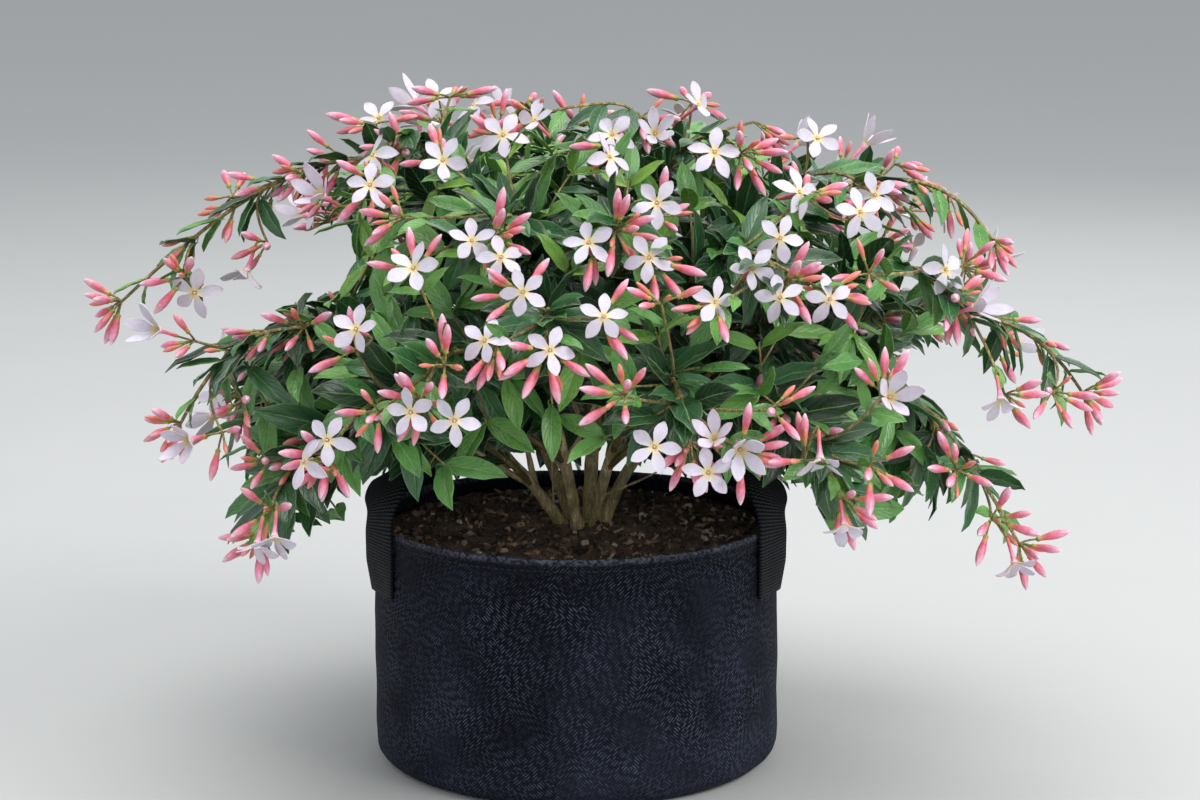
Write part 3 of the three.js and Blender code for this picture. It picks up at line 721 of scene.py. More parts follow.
class Plan:
    """The whole plant's growth, worked out once: the same places every time."""

    # The canopy's middle and half sizes
    BODY = Vector((0.012, 0.0, 0.250))
    REACH = Vector((0.272, 0.292, 0.226))

    # Radii of the space that the pieces take
    HANDLE_ROOM, STEM_ROOM, SHOOT_ROOM, TUBE_ROOM, FACE_ROOM = 0.016, 0.003, 0.002, 0.004, 0.0145

    # Space kept open before a flower, as (distance, radius)
    VIEW_ROOM = ((0.0, FACE_ROOM), (0.016, FACE_ROOM), (0.034, 0.0125))

    # Balls along a leaf, as (share of its length, radius), and along a bud
    LEAF_ROOM = ((0.3, 0.0045), (0.6, 0.006), (0.9, 0.003))
    BUD_ROOM = (0.25, 0.6, 0.9)

    # Stalks: radius at the foot and at the end, and steps along them
    FLOWER_STALK = (0.0008, 0.0009, 5)
    BUD_STALK = (0.0008, 0.00075, 3)
    HEAD_STALK, HEAD_REACH = 0.0012, 0.009
    SHOOT_STEPS, TWIG_STEPS, HEAD_STEPS = 26, 8, 2
    LONGEST_STALK = 0.048

    # How far before the nearest place on a shoot a twig leaves it
    TWIG_LEAD = 0.026

    # Buds at a flower head, at a bare shoot's tip and at a twig that is grown for one flower
    HEAD_BUDS, TIP_BUDS, TWIG_BUDS = 10, 8, 4

    # How a flower is held: shares of outwards, to the viewer, sideways, stray and up
    POSES = {"open": (0.5, 0.75, 0, 0.3, 0.12), "side": (0.5, 0.35, 0.6, 0.3, 0.2),
             "half": (0.8, 0.3, 0, 0.35, 0), "nod": (0.25, 0.75, 0, 0.1, -0.25),
             "hang": (0.35, 0.25, 0, 0.15, -1.0)}
    SHAPES = {"half": "half", "hang": "bell"}

    # Distance between groups of buds along the sprays
    BUD_PITCH = 0.034

    def __init__(self):
        self.leaf = settings("leaf")
        self.flower = settings("flower")
        self.wood = settings("wood")
        self.random = random.Random(41)
        self.room = Room()
        self.grown = {}
        self.knots = []
        self.curves = {name: shoot_points(name) for name in SHOOTS}
        self.samples = [(name, t / 50, bezier(points, t / 50))
                        for name, points in self.curves.items() for t in range(12, 48)]
        for hand in (-1, 1):
            for spot in handle_path(settings("handle"), hand, 24):
                self.room.take(spot, self.HANDLE_ROOM)
        for name in STEMS:
            for points, _ in (*branch_points(name), (stem_points(name), 0)):
                self.room.take_along(points, 16, self.STEM_ROOM)
        self.grow_shoots()
        self.grow_clusters()
        self.open_flowers()
        self.open_rear_flowers()
        self.set_buds()
        self.set_side_buds()
        self.grow_leaves()

    def stray(self):
        return Vector(self.random.uniform(-1, 1) for _ in range(3))

    def grow_shoots(self):
        for name, points in self.curves.items():
            self.grown[name] = Growth(points, self.wood.shoot_foot, self.wood.shoot_tip, self.SHOOT_STEPS)
            self.room.take_along(points, 60, self.SHOOT_ROOM)
            tip, ahead = points[-1], heading(points, 1)
            if name in UNHEADED:
                self.knots.append(Knot(tip, ahead, name, self.TIP_BUDS))
                continue
            owner = "head_" + name
            spot = tip + ahead * self.HEAD_REACH
            stalk = (tip + ahead * FIT, tip.lerp(spot, 0.5), spot)
            self.grown[owner] = Growth(stalk, self.wood.shoot_tip, self.HEAD_STALK, self.HEAD_STEPS)
            self.knots.append(Knot(spot, (ahead + outward(spot)).normalized(), owner, self.HEAD_BUDS))

    def twig_to(self, spot, low=0.24, high=0.94, pull=0.45):
        """The owner and control points of a twig from the nearest shoot to a spot."""
        name, t, _ = min((s for s in self.samples if low <= s[1] <= high), key=lambda s: (s[2] - spot).length)
        points = self.curves[name]
        t = max(0.2, t - self.TWIG_LEAD / run_length(points))
        root = bezier(points, t)
        bend = root + heading(points, t) * (spot - root).length * pull
        return name, (root, bend, spot)

    def bear_twig(self, owner, twig, foot, tip):
        wide = self.wood.twig
        self.grown[owner].stalks.append((twig, wide * foot, wide * tip, self.TWIG_STEPS))

    def add_knot(self, owner, twig, buds):
        spot = twig[-1]
        self.knots.append(Knot(spot, (heading(twig, 1) + outward(spot)).normalized(), owner, buds))
        return self.knots[-1]

    def grow_clusters(self):
        for x, y, z, buds in CLUSTERS:
            owner, twig = self.twig_to(mm(x, y, z), 0.3)
            self.bear_twig(owner, twig, 1.15, 1)
            self.add_knot(owner, twig, buds)
            self.leaf_run(owner, twig, (0.3, 0.86), 0.020, (0.82, 0.5))

    def facing_of(self, face, pose):
        out, view, sideways, stray, up = self.POSES[pose]
        aside = Vector((1 if face.x > 0 else -1, 0, 0))
        facing = outward(face) * out + (EYE - face).normalized() * view + aside * sideways
        return (facing + self.stray() * stray + UP * up).normalized()

    def hold_flower(self, knot, face, facing, kind):
        """Join an open flower to its knot by a stalk, and keep the space in front of it free."""
        root = face - facing * self.flower.tube
        reach = (root - knot.spot).length
        bend = root - facing * min(0.45 * reach, 0.014)
        grown = self.grown[knot.owner]
        grown.stalks.append(((knot.spot, bend, root), *self.FLOWER_STALK))
        grown.flowers.append((face, facing, kind, self.random.random() * TAU, self.random.random()))
        self.room.take(root.lerp(face, 0.4), self.TUBE_ROOM)
        for ahead, radius in self.VIEW_ROOM:
            self.room.take(face + facing * ahead, radius)

    def open_flowers(self):
        for x, y, z, pose in FLOWERS:
            face = mm(x, y, z)
            facing = self.facing_of(face, pose)
            root = face - facing * self.flower.tube
            knot = min(self.knots, key=lambda k: (k.spot - root).length)
            if (knot.spot - root).length > self.LONGEST_STALK:
                owner, twig = self.twig_to(root - facing * 0.010 - outward(root) * 0.006)
                self.bear_twig(owner, twig, 1.1, 1)
                knot = self.add_knot(owner, twig, self.TWIG_BUDS)
            self.hold_flower(knot, face, facing, self.SHAPES.get(pose, "open"))

    def open_rear_flowers(self):
        """The side away from the front flowers as freely as the front does."""
        for order, knot in enumerate(list(self.knots)):
            if knot.spot.y < -0.02:
                continue
            for i in range(1 + (order + 1) % 2):
                for attempt in range(8):
                    tilt = 0.35 + 0.4 * i + 0.08 * attempt
                    facing = leaning(knot.axis, tilt, (order + 2 * i + attempt) * GOLDEN_TURN)
                    facing = (facing + outward(knot.spot) * 0.5).normalized()
                    face = knot.spot + facing * (self.flower.tube + 0.009)
                    rim = [face + Vector(way) * 0.014 for way in ((1, 0, 0), (-1, 0, 0), UP, -UP)]
                    if self.room.is_free(face, self.FACE_ROOM) and is_under_top(face, 10) and not any(
                            map(is_in_open_air, rim)):
                        self.hold_flower(knot, face, facing, ("open", "open", "half")[(order + i) % 3])
                        break

    def set_bud(self, knot, direction, size, stalk):
        root = knot.spot + direction * stalk
        body = self.flower.bud_length * size
        balls = [root + direction * body * part for part in self.BUD_ROOM]
        radius = self.flower.bud_radius * size
        if not is_under_top(balls[-1]) or any(is_in_open_air(ball) for ball in balls):
            return False
        if not all(self.room.is_free(ball, radius, 0.9) for ball in balls):
            return False
        for ball in balls:
            self.room.take(ball, radius)
        droop = (direction + Vector((0, 0, 0.25))).normalized()
        grown = self.grown[knot.owner]
        grown.stalks.append(((knot.spot, knot.spot + droop * stalk * 0.5, root), *self.BUD_STALK))
        turn = self.random.random() * TAU
        ripe = clamp((size - 0.62) * 2.2 + self.random.uniform(-0.2, 0.2))
        grown.buds.append((root, direction, size, turn, ripe))
        return True

    def set_buds(self):
        rand = self.random
        for knot in self.knots:
            for i in range(knot.buds):
                size = rand.uniform(0.8, 1.08) if i % 4 else rand.uniform(0.5, 0.75)
                for attempt in range(9):
                    tilt = 0.18 + 0.95 * math.sqrt((i + 0.4) / knot.buds) + 0.07 * attempt
                    direction = leaning(knot.axis, tilt, i * GOLDEN_TURN + attempt * 0.8 + knot.spot.x * 40)
                    direction = (direction - UP * 0.1).normalized()
                    if self.set_bud(knot, direction, size, rand.uniform(0.009, 0.014) * (0.6 + 0.4 * size)):
                        break

    def set_side_buds(self):
        """Small groups of buds in the leaf joints of the long sprays."""
        rand = self.random
        for name in SPRAYS:
            points = self.curves[name]
            count = int(run_length(points) * 0.5 / self.BUD_PITCH)
            for i, side, j in product(range(count), (0, math.pi), range(2)):
                t = 0.5 + 0.46 * i / count
                ahead = heading(points, t)
                direction = leaning(ahead, 0.55 + 0.35 * j, side + i * 1.3 + 0.5 * j)
                direction = (direction - UP * 0.15).normalized()
                knot = Knot(bezier(points, t), ahead, name, 2)
                self.set_bud(knot, direction, rand.uniform(0.55, 0.95), rand.uniform(0.010, 0.016))

    def is_inside(self, tip):
        """Leaves stay off the soil, off the bare stems at the front and inside the model's box."""
        low, high = CAD_BOX
        if not all(low[axis] - 0.012 < tip[axis] < high[axis] + 0.004 for axis in range(3)):
            return False
        if is_in_open_air(tip) or not is_under_top(tip, 10):
            return False
        front = clamp((0.06 - tip.y) / 0.16)
        over_rim = 0.200 + 0.030 * front
        if math.hypot(tip.x, tip.y) < 0.175 and tip.z < over_rim:
            return False
        middle = 1 - min(1, abs(tip.x - 0.002) / 0.150)
        over_stems = 0.190 + 0.100 * middle ** 0.6 * front
        behind_bag = 0.165
        return tip.z > (behind_bag if tip.y > 0.16 else over_stems)

    def add_leaf(self, owner, root, direction, size, tone):
        reach = self.leaf.length * size
        if not self.is_inside(root + direction * reach):
            return False
        balls = [(root + direction * reach * share, radius * size) for share, radius in self.LEAF_ROOM]
        if any(is_in_open_air(spot) or not self.room.is_free(spot, radius, 0.85) for spot, radius in balls):
            return False
        for ball in balls:
            self.room.take(*ball)
        facing = outward(root) * 0.75 + UP * 0.55 + self.stray() * 0.35
        place = frame_along(direction, facing, root, size)
        self.grown[owner].leaves.append((place, tone, self.random.randrange(5)))
        return True

    def leaf_run(self, owner, points, part, pitch, sizes, tones=(0.1, 0.55)):
        """Opposite pairs of leaves along part of a shoot or twig, each pair turned from the last."""
        rand = self.random
        low, high = part
        count = max(1, round((high - low) * run_length(points) / pitch))
        start = rand.random() * math.pi
        for i in range(count):
            share = i / max(1, count - 1)
            t = low + (high - low) * share
            spot, ahead = bezier(points, t), heading(points, t)
            size = (sizes[0] + (sizes[1] - sizes[0]) * share) * rand.uniform(0.88, 1.12)
            tone = clamp(tones[0] + (tones[1] - tones[0]) * share ** 2 + rand.uniform(-0.1, 0.12))
            for side in (0, math.pi):
                for attempt in range(5):
                    turn = start + i * math.pi / 2 + side + attempt * 0.5 * (-1) ** attempt
                    direction = leaning(ahead, rand.uniform(0.75, 1.1), turn)
                    direction = direction + outward(spot) * 0.32 - UP * 0.14
                    if self.add_leaf(owner, spot, direction.normalized(), size, tone):
                        break

    def leafy_twig(self, spot, youth_and_light=1.0):
        owner, twig = self.twig_to(spot, 0.2, 0.96, 0.35)
        end = (bezier(twig, t) for t in (0.6, 0.8, 1))
        if not self.is_inside(spot - UP * 0.012) or any(map(is_in_open_air, end)):
            return
        self.bear_twig(owner, twig, 1.1, 0.7)
        low = max(0.12, 1 - 0.10 / run_length(twig))
        crown = (spot.z - 0.25) / 0.25
        # The factor scales the leaves' tones: below one it paints them darker, as shade inside the canopy,
        # and less young.
        self.leaf_run(owner, twig, (low, 0.97), self.leaf.pitch, (1.08 - 0.18 * crown, 0.8 - 0.14 * crown),
                      (0.05 * youth_and_light, (0.42 + 0.45 * max(0, crown)) * youth_and_light))
        self.add_leaf(owner, spot, (heading(twig, 1) - UP * 0.1).normalized(), 0.7, 0.5 * youth_and_light)

    def fill_canopy(self, total, fall, start, near, far, youth_and_light):
        """Leafy twigs that end evenly spread over a shell of the canopy, from its top down."""
        for i in range(total):
            height = 1 - fall * (i + 0.5) / total
            flat = math.sqrt(max(0, 1 - height * height))
            turn = i * GOLDEN_TURN + start
            way = Vector((flat * math.cos(turn), flat * math.sin(turn), height))
            share = self.random.uniform(near, far)
            self.leafy_twig(self.BODY + Vector(a * b * share for a, b in zip(way, self.REACH)), youth_and_light)

    def grow_leaves(self):
        for name, points in self.curves.items():
            pitch = 0.026 if name in SPRAYS else 0.024
            self.leaf_run(name, points, (0.3, 0.97), pitch, (0.95, 0.6), (0.1, 0.6))
            self.leaf_run(name, points, (0.12, 0.4), 0.03, (0.9, 1.0), (0.0, 0.2))
        self.grow_skirt()
        for spot in LOW_TWIGS:
            self.leafy_twig(mm(*spot))
        self.fill_canopy(self.leaf.outer_twigs, 1.42, 0.0, 0.84, 1.0, 1.0)
        # The inner twigs' leaves get a fraction of the tones: painted shade, so the leaves deep in the canopy
        # are darker.
        self.fill_canopy(self.leaf.inner_twigs, 1.5, 1.0, 0.5, 0.74, 0.3)

    def grow_skirt(self):
        """Twigs that hang low behind the bag."""
        count, rand = 34, self.random
        for i in range(count):
            x = -0.185 + 0.37 * i / (count - 1)
            self.leafy_twig(Vector((x, rand.uniform(0.150, 0.225), rand.uniform(0.205, 0.255))))


@cache
def plan():
    """The plant's growth, worked out the first time it is asked for."""
    return Plan()


# Materials

class Nodes:
    """A short way to add and link the nodes of one tree."""

    def __init__(self, tree):
        self.tree = tree

    def add(self, kind, inputs=(), **options):
        made = self.tree.nodes.new("ShaderNode" + kind)
        for name, value in options.items():
            setattr(made, name, value)
        for name, value in dict(inputs).items():
            self.put(made.inputs[name], value)
        return made

    def put(self, socket, value):
        if isinstance(value, bpy.types.NodeSocket):
            self.tree.links.new(value, socket)
        elif socket.type == "RGBA":
            socket.default_value = (*value[:3], 1)
        else:
            socket.default_value = value

    def use(self, group, **inputs):
        return self.add("Group", inputs, node_tree=group).outputs

    def math(self, operation, a, b=0.0, **options):
        return self.add("Math", {0: a, 1: b}, operation=operation, **options).outputs[0]

    def plus(self, a, b):
        return self.math("ADD", a, b)

    def minus(self, a, b):
        return self.math("SUBTRACT", a, b)

    def times(self, a, b):
        return self.math("MULTIPLY", a, b)

    def wave(self, value, count=1):
        return self.math("SINE", self.times(value, TAU * count))

    def mix(self, factor, a, b):
        return self.add("Mix", {0: factor, 6: a, 7: b}, data_type="RGBA").outputs[2]

    def range(self, value, low, high, to_low=0.0, to_high=1.0):
        return self.add("MapRange", {0: value, 1: low, 2: high, 3: to_low, 4: to_high}).outputs[0]

    def noise(self, vector, scale, detail=2.0, roughness=0.5):
        return self.add("TexNoise", {"Vector": vector, "Scale": scale, "Detail": detail,
                                     "Roughness": roughness}).outputs[0]

    def brighten(self, shade, factor):
        return self.add("HueSaturation", {"Color": shade, "Value": factor}).outputs[0]

    def ramp(self, value, *stops):
        made = self.add("ValToRGB", {0: value})
        points = made.color_ramp.elements
        while len(points) < len(stops):
            points.new(1.0)
        for point, (place, shade) in zip(points, stops):
            point.position = place
            point.color = (*shade, 1)
        return made.outputs[0]

    def attribute(self, name):
        return self.add("Attribute", attribute_name=name, attribute_type="GEOMETRY").outputs["Fac"]

    def split(self, vector):
        return self.add("SeparateXYZ", {0: vector}).outputs[:]


def new_group(name, build, outputs, **inputs):
    """A shader node group, made once. An input's kind follows from its default: None is a place."""
    if name in bpy.data.node_groups:
        return bpy.data.node_groups[name]
    group = bpy.data.node_groups.new(name, "ShaderNodeTree")
    for label, value in inputs.items():
        kind = "Vector" if value is None else "Float" if isinstance(value, float) else "Color"
        socket = group.interface.new_socket(name=label, in_out="INPUT", socket_type="NodeSocket" + kind)
        if value is not None:
            socket.default_value = value
    for label in outputs:
        kind = "Color" if label == "Color" else "Float"
        group.interface.new_socket(name=label, in_out="OUTPUT", socket_type="NodeSocket" + kind)
    start = group.nodes.new("NodeGroupInput")
    end = group.nodes.new("NodeGroupOutput")
    for label, value in zip(outputs, build(Nodes(group), *start.outputs[:len(inputs)])):
        group.links.new(value, end.inputs[label])
    return group


def mottle_group():
    """Broad and fine mottling of one colour, as natural surfaces have."""
    def build(nodes, place, shade, broad, fine, depth):
        coarse, grain = nodes.noise(place, broad, 3), nodes.noise(place, fine, 4, 0.6)
        mask = nodes.range(nodes.plus(nodes.times(coarse, 0.6), nodes.times(grain, 0.4)), 0.36, 0.64)
        bright = nodes.plus(nodes.times(nodes.minus(mask, 0.5), depth), 1.0)
        return nodes.brighten(shade, bright), mask
    return new_group("Mottle", build, ("Color", "Mask"), Vector=None, Color=(1, 1, 1, 1), Broad=20.0,
                     Fine=200.0, Depth=0.4)


def weave_group():
    """A twill: fine pale dashes on slanting lines, that show in patches and change their slant."""
    def build(nodes, along, up, pitch):
        along, up = nodes.math("DIVIDE", along, pitch), nodes.math("DIVIDE", up, pitch)
        spot = nodes.add("CombineXYZ", {0: along, 1: up}).outputs[0]
        side = nodes.math("GREATER_THAN", nodes.noise(spot, 0.12), 0.52)
        zigzag = nodes.times(along, nodes.range(side, 0, 1, -1, 1))
        slant = nodes.plus(zigzag, up)
        row = nodes.math("FLOOR", slant)
        jog = nodes.add("TexWhiteNoise", {"W": row}, noise_dimensions="1D").outputs["Value"]
        line = nodes.wave(slant)
        dash = nodes.wave(nodes.plus(nodes.math("DIVIDE", nodes.minus(zigzag, up), 4.2), jog))
        body = nodes.times(nodes.range(line, -0.1, 0.9), nodes.range(dash, -0.6, 0.2))
        broad = nodes.range(nodes.noise(spot, 0.07, 3.0), 0.38, 0.62, 0.25)
        fine = nodes.range(nodes.noise(spot, 0.9, 1.0), 0.3, 0.6, 0.15)
        body = nodes.times(body, nodes.times(broad, fine))
        return body, nodes.plus(body, nodes.times(line, 0.06))
    return new_group("Twill Weave", build, ("Yarn", "Height"), Along=0.0, Up=0.0, Pitch=TWILL_PITCH)


def dust_group():
    """Dust that settles low down and in patches."""
    def build(nodes, place, shade, dust, amount):
        low = nodes.range(nodes.split(place)[2], 0.06, 0.0)
        patch = nodes.range(nodes.noise(place, 15.0, 4, 0.6), 0.44, 0.70)
        speck = nodes.range(nodes.noise(place, 420.0), 0.62, 0.74)
        base = nodes.plus(nodes.times(low, 0.35), nodes.times(patch, 0.45))
        mask = nodes.math("MULTIPLY", nodes.plus(base, nodes.times(speck, 0.25)), amount, use_clamp=True)
        return nodes.mix(mask, shade, dust), mask
    return new_group("Settled Dust", build, ("Color", "Mask"), Vector=None, Color=(0, 0, 0, 1),
                     Dust=(0.1, 0.1, 0.1, 1), Amount=0.5)


class Finish(Nodes):
    """A material's nodes: its shader, and the place and UV map that its patterns read."""

    def __init__(self, name):
        self.material = bpy.data.materials.new(name)
        self.material.use_nodes = True
        super().__init__(self.material.node_tree)
        self.tree.nodes.clear()
        self.shader = self.add("BsdfPrincipled")
        self.add("OutputMaterial", {"Surface": self.shader.outputs[0]})
        coordinates = self.add("TexCoord").outputs
        self.place = coordinates["Object"]
        self.uv = coordinates["UV"]

    def grain(self, scale, detail=2.0, roughness=0.5):
        return self.noise(self.place, scale, detail, roughness)

    def blade(self):
        """Across, out from the middle line, and along a leaf or a petal."""
        u, v, _ = self.split(self.uv)
        return u, self.math("ABSOLUTE", self.minus(u, 0.5)), v

    def mottled(self, shade, broad, fine, depth):
        made = self.use(mottle_group(), Vector=self.place, Color=shade, Broad=broad, Fine=fine, Depth=depth)
        return made["Color"], made["Mask"]

    def surface(self, shade, wear, smoothest, roughest, **constants):
        """Feed the shader its colour, its roughness by a mask of wear, and its constants."""
        self.put(self.shader.inputs["Base Color"], shade)
        self.put(self.shader.inputs["Roughness"], self.range(wear, 0, 1, smoothest, roughest))
        for name, value in constants.items():
            self.put(self.shader.inputs[name.replace("_", " ")], value)

    def bump(self, height, distance, strength=1.0):
        made = self.add("Bump", {"Height": height, "Distance": distance, "Strength": strength})
        self.put(self.shader.inputs["Normal"], made.outputs[0])


def look(name, build, *values):
    """The material of that name, built the first time it is asked for."""
    if name not in bpy.data.materials:
        build(Finish(name), *values)
    return bpy.data.materials[name]


def round_the_bag(nodes):
    x, y, z = nodes.split(nodes.place)
    return nodes.times(nodes.math("ARCTAN2", x, nodes.times(y, -1)), BAG_RADIUS), z


def across_the_base(nodes):
    return nodes.split(nodes.place)[:2]


def twill(nodes, along, up, share, felt, yarn):
    """The colour and the relief of the cloth: pale yarns on dark felt."""
    weave = nodes.use(weave_group(), Along=along, Up=up, Pitch=TWILL_PITCH)
    return nodes.mix(nodes.times(weave["Yarn"], share), felt, yarn), weave["Height"]


def dusty_cloth(nodes, bag, along_of):
    shade, relief = twill(nodes, *along_of(nodes), 0.9, bag.cloth_colour, bag.yarn_colour)
    shade, _ = nodes.mottled(shade, 12, 90, 0.4)
    dust = nodes.use(dust_group(), Vector=nodes.place, Color=shade, Dust=bag.dust_colour, Amount=0.5)
    nodes.surface(dust["Color"], dust["Mask"], 0.8, 0.95, Specular_IOR_Level=0.12)
    nodes.bump(nodes.plus(relief, nodes.times(nodes.grain(700, 3), 0.3)), 0.0003, 0.8)


def worn_hem(nodes, bag):
    """The same cloth, rubbed paler along the hem's upper edge."""
    along, up = round_the_bag(nodes)
    shade, relief = twill(nodes, along, up, 0.6, Vector(bag.cloth_colour) * 1.2, bag.yarn_colour)
    patchy = nodes.range(nodes.grain(380, 4), 0.40, 0.62, 0.1)
    rub = nodes.times(nodes.range(up, RIM_TOP - 0.005, RIM_TOP), patchy)
    shade = nodes.mix(nodes.times(rub, 0.85), shade, (0.190, 0.205, 0.270))
    shade, mask = nodes.mottled(shade, 20, 500, 0.4)
    nodes.surface(shade, mask, 0.8, 0.95, Sheen_Weight=0.04, Specular_IOR_Level=0.15)
    nodes.bump(nodes.plus(relief, nodes.grain(700, 3)), 0.0005, 0.9)


def ribbed_webbing(nodes, handle):
    u, v, _ = nodes.split(nodes.uv)
    rib = nodes.wave(u, 9)
    weft = nodes.wave(nodes.plus(v, nodes.times(rib, 0.0008)), 120)
    web = Vector(handle.web_colour)
    shade, mask = nodes.mottled(nodes.mix(nodes.range(weft, 0, 1), web, web * 6.5), 30, 260, 0.5)
    nodes.surface(shade, mask, 0.55, 0.75, Specular_IOR_Level=0.25)
    nodes.bump(nodes.plus(nodes.times(rib, 0.12), nodes.times(weft, 0.88)), 0.0009, 0.9)


def sewing_thread(nodes, handle):
    twist = nodes.grain(1500, 1)
    thread = Vector(handle.thread_colour)
    shade = nodes.mix(nodes.range(twist, 0.35, 0.65), thread * 0.6, thread * 1.5)
    nodes.surface(shade, nodes.range(twist, 0.3, 0.7), 0.45, 0.7)
    nodes.bump(twist, 0.0002)


def damp_mix(nodes, soil):
    shade, mask = nodes.mottled(soil.soil_colour, 35, 260, 1.1)
    fibre = nodes.range(nodes.grain(330, 5, 0.7), 0.56, 0.68)
    nodes.surface(nodes.mix(nodes.times(fibre, 0.6), shade, (0.260, 0.175, 0.120)), mask, 0.7, 0.95)
    nodes.bump(nodes.plus(nodes.grain(180, 6, 0.7), nodes.grain(620, 3)), 0.004, 0.8)


def flaky_bark(nodes):
    body = nodes.ramp(nodes.attribute("tone"), (0.0, (0.024, 0.020, 0.019)), (0.42, (0.090, 0.064, 0.050)),
                      (0.66, (0.260, 0.160, 0.106)), (0.86, (0.560, 0.360, 0.220)), (1.0, (0.66, 0.61, 0.56)))
    nodes.surface(*nodes.mottled(body, 160, 900, 0.8), 0.65, 0.9)
    nodes.bump(nodes.grain(700, 4, 0.7), 0.001)


def ageing_wood(nodes, old, young, young_from):
    """Bark that turns greener with distance from the crown."""
    from_crown = nodes.add("VectorMath", {0: nodes.place, 1: (STEMS_AT, 0.0, 0.20)}, operation="SUBTRACT")
    distance = nodes.add("VectorMath", {0: from_crown.outputs[0]}, operation="LENGTH").outputs["Value"]
    uneven = nodes.range(nodes.grain(40, 3), 0.3, 0.7, -0.04, 0.04)
    age = nodes.range(nodes.plus(distance, uneven), young_from, young_from + 0.16)
    shade, mask = nodes.mottled(nodes.mix(age, old, young), 70, 600, 1.0)
    stretch = nodes.add("Mapping", {"Vector": nodes.place, "Scale": (1.0, 1.0, 0.16)}).outputs[0]
    fissure = nodes.range(nodes.noise(stretch, 420, 4, 0.65), 0.42, 0.62)
    nodes.surface(nodes.mix(nodes.times(fissure, 0.6), shade, Vector(old) * 0.30), mask, 0.55, 0.8)
    nodes.bump(nodes.times(fissure, -1), 0.0012, 0.9)


def glossy_leaf(nodes, leaf):
    """Deep green with a pale midrib, sunk side veins and a pale edge; young leaves are yellower, and leaves
    of low tone are painted darker, as shade inside the canopy.
    """
    _, aside, v = nodes.blade()
    midrib = nodes.range(aside, 0.035, 0.0)
    veins = nodes.range(nodes.wave(nodes.minus(nodes.times(v, 8), nodes.times(aside, 5))), 0.82, 1.0)
    edge = nodes.range(aside, 0.45, 0.5)
    # Tones under 0.3 are painted shade: the colour falls to a fifth of the old leaf's, for leaves deep in the
    # canopy.
    body = nodes.ramp(nodes.attribute("tone"), (0.0, Vector(leaf.old_colour) * 0.2), (0.3, leaf.old_colour),
                      (0.62, (0.120, 0.310, 0.055)), (1.0, leaf.young_colour))
    shade, mask = nodes.mottled(body, 55, 420, 0.55)
    pale = nodes.mix(0.7, shade, (0.34, 0.50, 0.24))
    lines = nodes.math("MAXIMUM", nodes.times(veins, 0.22), nodes.times(edge, 0.5))
    lines = nodes.math("MAXIMUM", nodes.times(midrib, 0.9), lines)
    nodes.surface(nodes.mix(lines, shade, pale), mask, 0.24, 0.38, Specular_IOR_Level=0.6)
    nodes.bump(nodes.plus(nodes.times(veins, -0.5), nodes.times(nodes.grain(900), 0.25)), 0.0006)


def leaf_underside(nodes, leaf):
    _, aside, _ = nodes.blade()
    midrib = nodes.range(aside, 0.06, 0.0)
    body = nodes.mix(nodes.attribute("tone"), leaf.under_colour, (0.20, 0.36, 0.09))
    shade, mask = nodes.mottled(body, 55, 420, 0.4)
    nodes.surface(nodes.mix(midrib, shade, (0.30, 0.42, 0.18)), mask, 0.6, 0.8, Sheen_Weight=0.2)
    nodes.bump(midrib, 0.0006)


def petal_skin(nodes, flower, is_face):
    """White flushed with pink towards the edge, fine veins, and a yellow throat on the face."""
    u, aside, v = nodes.blade()
    tone = nodes.attribute("tone")
    veins = nodes.range(nodes.wave(u, 7), 0.2, 1.0)
    white, blush = flower.petal_colour, flower.blush_colour
    if is_face:
        edge = nodes.range(nodes.plus(aside, nodes.times(v, 0.12)), 0.40, 0.60)
        shade = nodes.mix(nodes.times(edge, nodes.range(tone, 0.2, 1.0, 0.02, 0.55)), white, blush)
        shade = nodes.mix(nodes.times(veins, 0.10), shade, (0.62, 0.52, 0.66))
        shade = nodes.mix(nodes.times(nodes.range(v, 0.24, 0.02), 0.85), shade, flower.throat_colour)
    else:
        shade = nodes.mix(nodes.range(tone, 0, 1, 0.18, 0.7), white, blush)
        shade = nodes.mix(nodes.times(nodes.range(aside, 0.2, 0.0), 0.35), shade, blush)
    soft = nodes.range(nodes.grain(240, 3), 0.35, 0.65)
    nodes.surface(nodes.brighten(shade, nodes.range(soft, 0, 1, 0.94, 1.04)), soft, 0.45, 0.6,
                  Subsurface_Weight=0.12, Subsurface_Radius=(0.004, 0.003, 0.003), Sheen_Weight=0.1)
    nodes.bump(veins, 0.0002, 0.6)


